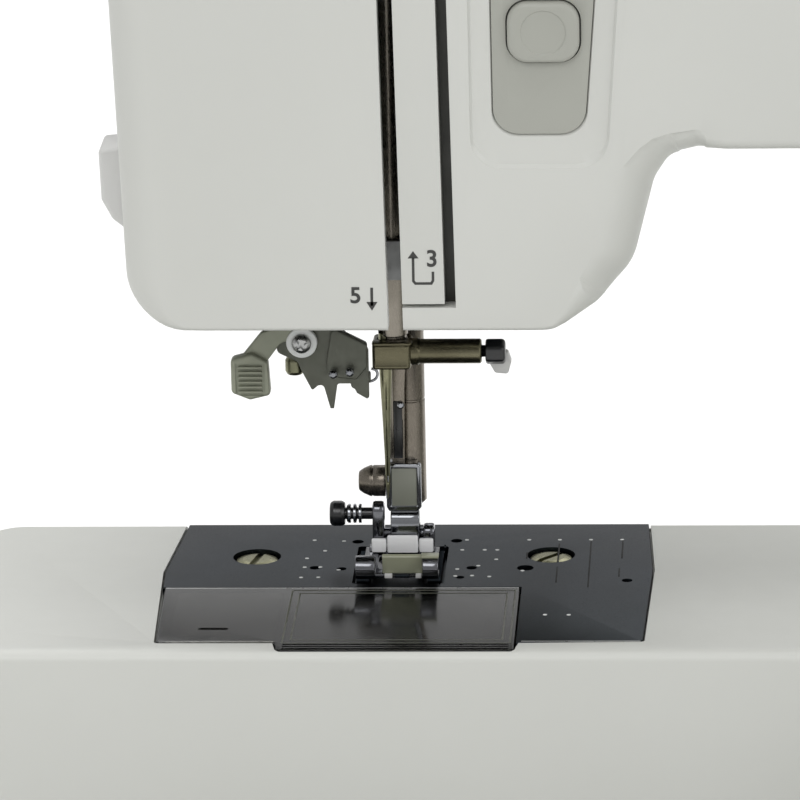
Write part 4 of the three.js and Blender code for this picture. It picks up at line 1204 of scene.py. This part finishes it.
def make_needle_parts():
    bar = lathe("needle_bar", "z", (-0.4, 0), [(0, 44), (2.6, 44), (3, 44.5), (3, 48.6), (2.7, 48.9),
                                               (2.7, 49.4),
                                               (3, 49.7), (3, 143.6), (2.6, 144), (0, 144)], "steel", 64)
    boolean(bar, [plug("x", (0, 114), 2, (-0.4, 9))], "UNION")
    boolean(bar, [plug("z", NEEDLE, 1.35, (42, 52))])
    finish_piece(bar, "needle_bar", "steel", "needle_bar")

    clamp = rounded_prism("needle_clamp", "z", rectangle((-4.5, 3.3), (-4.6, 3.9), 1.1), (43.2, 48.4),
                          "bronze",
                          (0.5, 0.5), 6, 4)
    collar = lathe("collar", "x", CLAMP_SCREW, [(0, 2), (2.75, 2), (2.75, 4.6, 0.5), (2.5, 5.1, 0.2),
                                                (2.5, 17.1, 0.3),
                                               (2.2, 17.4, 0.2), (0, 17.4)], None, 64)
    boolean(clamp, [collar], "UNION")
    lip = rounded_prism("lip", "z", rectangle((-4.5, 3.6), (-4.75, -2.0), 0.9), (48.3, 48.9), None,
                        (0.15, 0.25))
    boolean(clamp, [lip], "UNION")
    boolean(clamp, [
        plug("z", (-0.4, 0), 3.3, (40, 52), 64),
        plug("x", CLAMP_SCREW, 1.5, (9, 20)),
        cutter((-3.8, 2.5), (-8, -4.35), (44.0, 47.7)),
    ])
    bevel(clamp, 0.15, 42, 2)
    finish_piece(clamp, "needle_bar", "clamp_bronze", "needle_clamp")

    hexagon = [(-1 + 2.75 * math.cos(a), 46.0 + 2.75 * math.sin(a), 0.7)
               for a in (math.radians(30 + 60 * k) for k in range(6))]
    knob = rounded_prism("clamp_knob", "x", hexagon, (18.2, 22.2), "black", (0.5, 0.8), 5, 4)
    boolean(knob, [plug("x", CLAMP_SCREW, 1.2, (9.4, 19))], "UNION")
    finish_piece(knob, "clamp_screw", "black_plastic", "needle_clamp_screw")
    tab = rounded_prism("clamp_tab", "y", [(19.0, 45.5, 0.6), (18.9, 43.2, 0.6), (20.0, 41.2, 0.8),
                                           (22.6, 41.0, 0.6),
                                           (23.3, 43.5, 0.6), (22.6, 45.6, 0.6)], (-0.3, 2.2), "cutter",
                        (0.3, 0.3))
    finish_piece(tab, "needle_bar", "bright_steel")

    path = []
    for z, radius in ((50, 1.3), (43, 1.3), (41, 1.24), (32, 0.84), (24, 0.55), (18, 0.45), (16.2, 0.22),
                      (15, 0.04)):
        path.append([(NEEDLE[0] + radius * math.cos(a), NEEDLE[1] + radius * math.sin(a),
                      z) for a in circle(32)])
    needle = loft("needle", path, "brass", smooth=60)
    boolean(needle, [
        prism_cutter("y", rectangle((-2.16, -1.84), (18.4, 19.9), 0.15), (-3, 1)),
        cutter((-2.12, -1.88), (-2.2, -1.3), (19.5, 34)),
    ])
    finish_piece(needle, "needle_bar", "bright_steel", "needle")


def make_threader():
    plate = rounded_prism("threader_plate", "y", [
        (-23.5, 47.2, 1.2), (-19.4, 45.2, 1), (-18.7, 43.4, 0.5), (-16.6, 39.2, 0.3), (-15.4, 40.2, 0.4),
        (-14.3, 40.4, 0.8),
        (-13.0, 35.4),
        (-12.3, 35.4), (-11.5, 40.6, 0.6), (-8.6, 40.6, 0.6), (-7.6, 38.6, 0.5), (-5.6, 37.4),
        (-5.2, 37.7), (-5.2, 47.6, 0.8), (-13, 53.6, 1), (-23.5, 53.6, 1)], (-5.2, -3.4), "olive_dark",
        (0.12, 0.12), 5, 2)
    raised = rounded_prism("raised", "y", [
        (-13.6, 45.2, 0.8), (-13.2, 42.2, 0.8), (-7.6, 41.6, 0.6), (-5.4, 44.2, 0.6), (-5.4, 49, 0.8),
        (-12.4, 52.6, 1)],
        (-6, -4), None, (0.35, 0.1), 5, 3)
    carrier = box("carrier", (-20.5, -15.5), (-4, 1.4), (50, 54), None, 0.5)
    rail = rod("rail", "z", (-18, -1), 2, (51, 112), None)
    boolean(plate, [raised, carrier, rail], "UNION")
    bevel(plate, 0.12, 45, 1)
    finish_piece(plate, "threader", "threader_metal", "threader_bracket")
    pieces = []
    for i, (x, z) in enumerate(((-12.1, 43.3), (-8.8, 43.7))):
        pieces.append(lathe(f"threader_pin_{i}", "y", (x, z),
                            [(0, -8.3), (0.45, -8.3, 0.25), (0.85, -7.9, 0.2),
                                                               (0.85, -6.9), (0.5, -6.7), (0.5, -5.6),
                             (0, -5.6)],
                            "chrome", 32))
    guard = rounded_prism("threader_guard", "y", [(-9.4, 41.8, 0.6), (-8.8, 39.2, 0.6), (-6.6, 37.9, 0.4),
                                                  (-6.2, 39.4, 0.4), (-4.9, 40.4, 0.4), (-4.9, 42.6, 0.5)],
                          (-3.3, -2.2), "olive_dark", (0.25, 0.25), 5)
    pieces.append(guard)
    hook_path = [(-8.2, -2.6, 42.6), (-7.2, -2.6, 40.8), (-5.4, -2.4, 40.2), (-4.1, -2.2, 40.6),
                 (-3.6, -2.1, 41.6),
                 (-3.9, -2.2, 42.5), (-4.8, -2.4, 42.9)]
    pieces.append(wire("threader_hook", smooth_path(hook_path, 6), 0.28, "chrome"))
    collar = lathe("threader_collar", "z", (-20.2, -2.4),
                   [(0, 41.9), (1.5, 41.9, 0.3), (1.9, 42.6, 0.2), (1.9, 44.8, 0.2),
                                                           (1.6, 45.4, 0.2), (1.6, 49.6), (0, 49.6)],
                   "brass", 48)
    pieces.append(collar)
    for piece in pieces:
        piece.parent = plate

    ring = lathe("threader_washer", "y", THREADER_SCREW,
                 [(1.7, -5.3), (3.1, -5.3, 0.1), (3.1, -6.6, 0.3), (1.7, -6.7, 0.15),
                                                         (1.7, -5.3)], "white_ink", 64)
    head = screw_head("threader_screw", "y", THREADER_SCREW, 1.95, (-8.0, -6.4), "satin", 0.75,
                      math.radians(35))
    finish_piece(head, "threader", "bright_steel", "threader_screw")
    ring.parent = head

    pad = rounded_prism("threader_lever", "y", [
        (-32.7, 39.4, 1), (-29, 37.9, 0.8), (-24.8, 38.9, 0.9), (-25.2, 45.8, 1), (-28.4, 47.6, 1),
        (-32.7, 46.4, 1)],
        (-7.6, -4.6), "olive", (0.6, 0.4), 6, 4)
    neck = rounded_prism("neck", "y", [(-30.6, 46.6, 0.3), (-26.6, 51.6, 1), (-19.6, 53.9, 1),
                                       (-17.4, 50.8, 0.6),
                                       (-22.6, 49.4, 2), (-25.6, 45.4, 0.4)], (-6.2, -4.7), None, (0.3, 0.3),
                         6, 3)
    boolean(pad, [neck], "UNION")
    ribs = [rounded_prism("rib", "y", rectangle((-31.2, -26.4), (39.5 + 1.02 * i, 39.95 + 1.02 * i), 0.2),
                          (-8.1, -7), None,
                          (0.15, 0)) for i in range(6)]
    boolean(pad, [cutter((-31.8, -25.9), (-9, -7.3), (38.9, 45.6))])
    boolean(pad, ribs, "UNION")
    bevel(pad, 0.12, 45, 1)
    finish_piece(pad, "threader", "threader_metal", "threader_lever")


def smooth_path(points, steps):
    """A Catmull-Rom curve through points."""
    p = [Vector(q) for q in points]
    p = [p[0]] + p + [p[-1]]
    result = []
    for i in range(1, len(p) - 2):
        for k in range(steps):
            t = k / steps
            result.append(0.5 * ((2 * p[i]) + (p[i + 1] - p[i - 1]) * t
                                 + (2 * p[i - 1] - 5 * p[i] + 4 * p[i + 1] - p[i + 2]) * t * t
                                 + (3 * p[i] - p[i - 1] - 3 * p[i + 1] + p[i + 2]) * t ** 3))
    result.append(p[-2])
    return [tuple(q) for q in result]


# ------------------------------------------------------------------ presser bar and foot

def make_presser_parts():
    bar = lathe("presser_bar", "z", PRESSER_BAR, [(0, 10), (1.6, 10), (3, 11.4), (3, 32.6, 0.1),
                                                  (2.86, 32.75),
                                                (2.86, 33.05), (3, 33.2, 0.1), (3, 141), (0, 141)],
                "dark_steel", 64)
    ring = rod("ring", "z", PRESSER_BAR, 5.5, (82, 85), None)
    lug = box("lug", (-0.8, 5.2), (13, 36), (82, 85), None, 0.4)
    boolean(bar, [ring, lug], "UNION")
    finish_piece(bar, "presser_bar", "steel", "presser_bar")
    guide = rounded_prism("presser_guide", "y", [(-1.5, 20.4, 0.3), (1.1, 20.4, 0.3), (1.3, 36, 0.3),
                                                 (1.9, 46, 0.3),
                                                 (-1.3, 46, 0.3)], (6.1, 7.1), "dark_steel", (0.15, 0.15))
    boolean(guide, [prism_cutter("y", rectangle((-1.05, 0.85), (23.2, 29.6), 0.3), (5, 6.6)),
                    prism_cutter("y", rectangle((-1.05, 0.65), (21.2, 22.4), 0.3), (5, 6.6))])
    bevel(guide, 0.1, 45, 1)
    guide.parent = bar
    # A black block filling the guide's recesses: painted shade for the recesses.
    box("guide_recess_shade", (-1.05, 0.75), (5.9, 6.7), (21.2, 33.4), "black", 0.15).parent = bar
    box("guide_strip", (-2.2, -1.05), (5.9, 6.9), (21.0, 40), "steel", 0.1).parent = bar
    lathe("guide_screw", "y", (0.45, 32.6), [(0, 5.3), (0.5, 5.3, 0.2), (0.75, 5.6, 0.15), (0.75, 6.3),
                                             (0, 6.3)],
          "chrome", 32).parent = bar

    holder = rounded_prism("foot_holder", "y", [(-2.7, 11.3, 0.5), (-2.2, 10.4, 0.4), (3.6, 10.4, 0.4),
                                                (4.4, 11.3, 0.5),
                                                (4.4, 20.0, 0.8), (3.8, 20.6, 0.4), (-2.1, 20.6, 0.4),
                                                (-2.7, 20.0, 0.8)],
                           (4.2, 6.9), "chrome", (0.45, 0.2), 5, 4)
    side = box("side", (-2.9, -1.2), (5.2, 13.6), (12.4, 20.2), None, 0.5)
    boolean(holder, [side], "UNION")
    roll = lathe("roll", "x", (6.0, 8.4), [(0, -2), (1.75, -2, 0.3), (1.75, 3.9, 0.3), (0, 3.9)], None, 48)
    neck = box("neck", (-1.9, 3.6), (5.2, 6.9), (8.5, 11.2), None, 0.3)
    front_wall = box("front_wall", (-2, 3.9), (4.2, 4.9), (3.7, 8.6), None, 0.25)
    rear_wall = box("rear_wall", (-2, 3.9), (7.1, 7.8), (3.7, 8.6), None, 0.25)
    boolean(holder, [roll, neck, front_wall, rear_wall], "UNION")
    boolean(holder, [
        prism_cutter("y", rectangle((-1.75, 3.6), (11.5, 19.7), 0.5), (3, 4.55)),
        plug("x", FOOT_SCREW, 1.8, (-8, 0)),
    ])
    bevel(holder, 0.14, 40, 2)
    finish_piece(holder, "presser_bar", "bright_steel", "foot_holder")
    box("holder_panel", (-1.6, 3.5), (4.36, 4.7), (11.6, 19.6), "label", 0.08).parent = holder

    thumb = [(0, -8.6), (1.9, -8.6, 0.5), (2.6, -7.6, 0.4), (3.2, -6.2, 0.4), (3.2, -3.1, 0.2), (1.5, -3.1),
             (1.5, -1.4),
             (0, -1.4)]
    screw = lathe("foot_screw", "x", FOOT_SCREW, thumb, "dark_steel", 96)
    ring = lathe("groove", "x", FOOT_SCREW, [(3.05, -5.9), (3.6, -5.9), (3.6, -5.6), (3.05, -5.6),
                                             (3.05, -5.9)], None, 96)
    boolean(screw, [ring])
    finish_piece(screw, "foot_screw", "steel", "foot_screw")


def toe_profile():
    """Side view of a toe as (y, z) corners: a thin sole whose front end is curled up and back."""
    middle, outer, inner = (-9.9, 3.3), 2.4, 1.5
    turns = [math.radians(270 - 15 * k) for k in range(18)]
    outside = [(middle[0] + outer * math.cos(a), middle[1] + outer * math.sin(a)) for a in turns]
    inside = [(middle[0] + inner * math.cos(a), middle[1] + inner * math.sin(a)) for a in turns[::-1]]
    return [(7.4, 0.9), *outside, *inside, (7.4, 1.8)]


def make_foot():
    left = rounded_prism("presser_foot", "x", toe_profile(), (-8.4, -4.4), "foot_chrome", (0.2, 0.2), 6, 3)
    right = rounded_prism("right", "x", toe_profile(), (5.2, 8.4), "foot_chrome", (0.2, 0.2), 6, 3)
    boolean(left, [cutter((-9, -7.2), (-7.2, 9), (0, 3))])
    boolean(right, [cutter((7.8, 9), (-7.2, 9), (0, 3))])
    bridge = box("bridge", (-6.5, 7.0), (2.0, 7.3), (0.9, 1.7), None, 0.2)
    rear = box("rear", (-6.5, 7.0), (4.6, 7.3), (0.9, 2.6), None, 0.25)
    toes = [box("toe", (x0, x1), (-9.6, 3), (0.9, 1.75), None, 0.25) for x0,
            x1 in ((-4.8, -2.4), (3.6, 5.6))]
    ears = [box("ear", (-5.7, -3.3), (4, 8), (2, 12), None, 0.5, "x", 1.6),
            box("ear", (4.6, 6.9), (4, 8), (2, 7.2), None, 0.5, "x", 1.4)]
    pin = rod("pin", "x", (6, 5.3), 1.0, (-4, 5), None)
    boolean(left, [right, bridge, rear] + toes + ears + [pin], "UNION")
    boolean(left, [
        prism_cutter("z", rectangle((-4.2, 4.6), (-3, 2), 1.6), (-1, 4), 8),
        plug("x", LEVEL_BUTTON, 1.5, (-8, -2.8)),
    ])
    bevel(left, 0.1, 42, 2)
    finish_piece(left, "presser_foot", "bright_steel", "presser_foot")
    window = rounded_prism("foot_window", "x", [(-3.4, 1.9, 0.3), (-9.2, 1.6, 0.5), (-10.2, 5.6, 0.4),
                                                (-9.4, 6.0, 0.3),
                                               (-7.4, 3.4, 0.6), (-3.4, 2.9, 0.3)], (-3.0, 5.1),
                           "foot_clear", (0.2, 0.2))
    window.parent = left
    box("foot_brow", (4.9, 8.5), (-11.2, -8.8), (5.5, 6.1), "foot_clear", 0.2).parent = left
    # The pin blocks are chrome; their bright white colour is a painted reflection of the white surroundings.
    for row in (("pin_block_left", (-5.9, -2.9), (3.0, 4.1), (2.0, 4.9), "painted_reflection_white", 0.35),
                ("pin_block_middle", (-2.7, 3.6), (2.9, 4.0), (1.9, 5.6), "painted_reflection_white", 0.35),
                ("pin_block_right", (3.8, 6.7), (3.0, 4.1), (2.0, 4.9), "painted_reflection_white", 0.35),
                ("foot_shadow", (-3.0, 5.2), (-9.6, -8.9), (0.95, 1.6), "black", 0.15),
                ("foot_step_left", (-2.6, -1.0), (-10.1, -9.3), (0.95, 1.9), "cutter", 0.15),
                ("foot_step_middle", (-0.5, 2.5), (-9.9, -9.3), (0.95, 1.7), "plate", 0.15),
                ("foot_step_right", (3.7, 4.9), (-10.1, -9.3), (0.95, 1.9), "cutter", 0.15)):
        box(*row).parent = left
    rings = [(0, -14.4), (2.2, -14.4, 0.7), (2.6, -13.6, 0.3), (2.6, -12.0, 0.5), (2.2, -11.3, 0.2),
             (1.2, -11.3)]
    x = -11.3
    for k in range(2):
        rings += [(1.2, x + 0.25), (1.75, x + 0.4, 0.12), (1.75, x + 0.95, 0.12), (1.2, x + 1.1)]
        x += 1.35
    rings += [(1.2, -4), (0, -4)]
    hex_knob = lathe("level_button", "x", LEVEL_BUTTON, rings, "black", 48)
    finish_piece(hex_knob, "level_button", "black_plastic", "foot_level_button")
    for i, x in enumerate((-10.4, -9.3, -8.2)):
        lathe(f"button_band_{i}", "x", LEVEL_BUTTON, [(1.3, x - 0.3), (1.95, x - 0.3, 0.1),
                                                      (1.95, x + 0.3, 0.1),
                                                  (1.3, x + 0.3), (1.3, x - 0.3)], "chrome",
              48).parent = hex_knob


# ------------------------------------------------------------------ inner parts and the whole scene

INNER = {
    "cast": ("cast_frame", "needle_bar_frame"),
    "plate": ("feed_bar", "feed_dog"),
    "steel": ("main_shaft", "lower_shaft", "rotary_hook", "connecting_link", "presser_spring"),
    "dark_steel": ("needle_crank",),
    "chrome": ("take_up_lever",),
    "black": ("bobbin_case", "motor", "motor_pulley"),
    "rubber": ("drive_belt", "motor_belt"),
    "panel": ("presser_lifter",),
    "clear": ("bobbin",),
    "board": ("circuit_board",),
    "lens": ("lamp",),
}


def dress_inner_parts():
    for material, nodes in INNER.items():
        for node in nodes:
            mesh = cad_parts[node].data
            mesh.materials.clear()
            mesh.materials.append(MATERIALS[material])
            mesh.shade_smooth()
            mesh.set_sharp_from_angle(angle=math.radians(32))


def make_floor():
    reach, height = 6000, TABLE - 0.05
    verts = [(-reach, -reach, height), (reach, -reach, height), (reach, reach, height),
             (-reach, reach, height)]
    floor = new_object("floor", verts, [(0, 1, 2, 3)], None)
    n = Nodes("floor_paper")
    n.put(n.shader, "Base Color", n.ramp(n.noise(5, 3), linear(244, 244, 243), linear(248, 248, 247)))
    n.shader.inputs["Roughness"].default_value = 0.9
    floor.data.materials.append(n.material)


MATERIALS = make_materials()
make_camera()
make_light()
make_floor()
make_front_cover()
make_rear_cover()
make_free_arm()
make_needle_plate()
make_bobbin_cover()
make_base()
make_base_fittings()
make_casing_parts()
make_controls()
make_top_fittings()
make_hand_wheel()
make_prints()
make_needle_parts()
make_threader()
make_presser_parts()
make_foot()
dress_inner_parts()
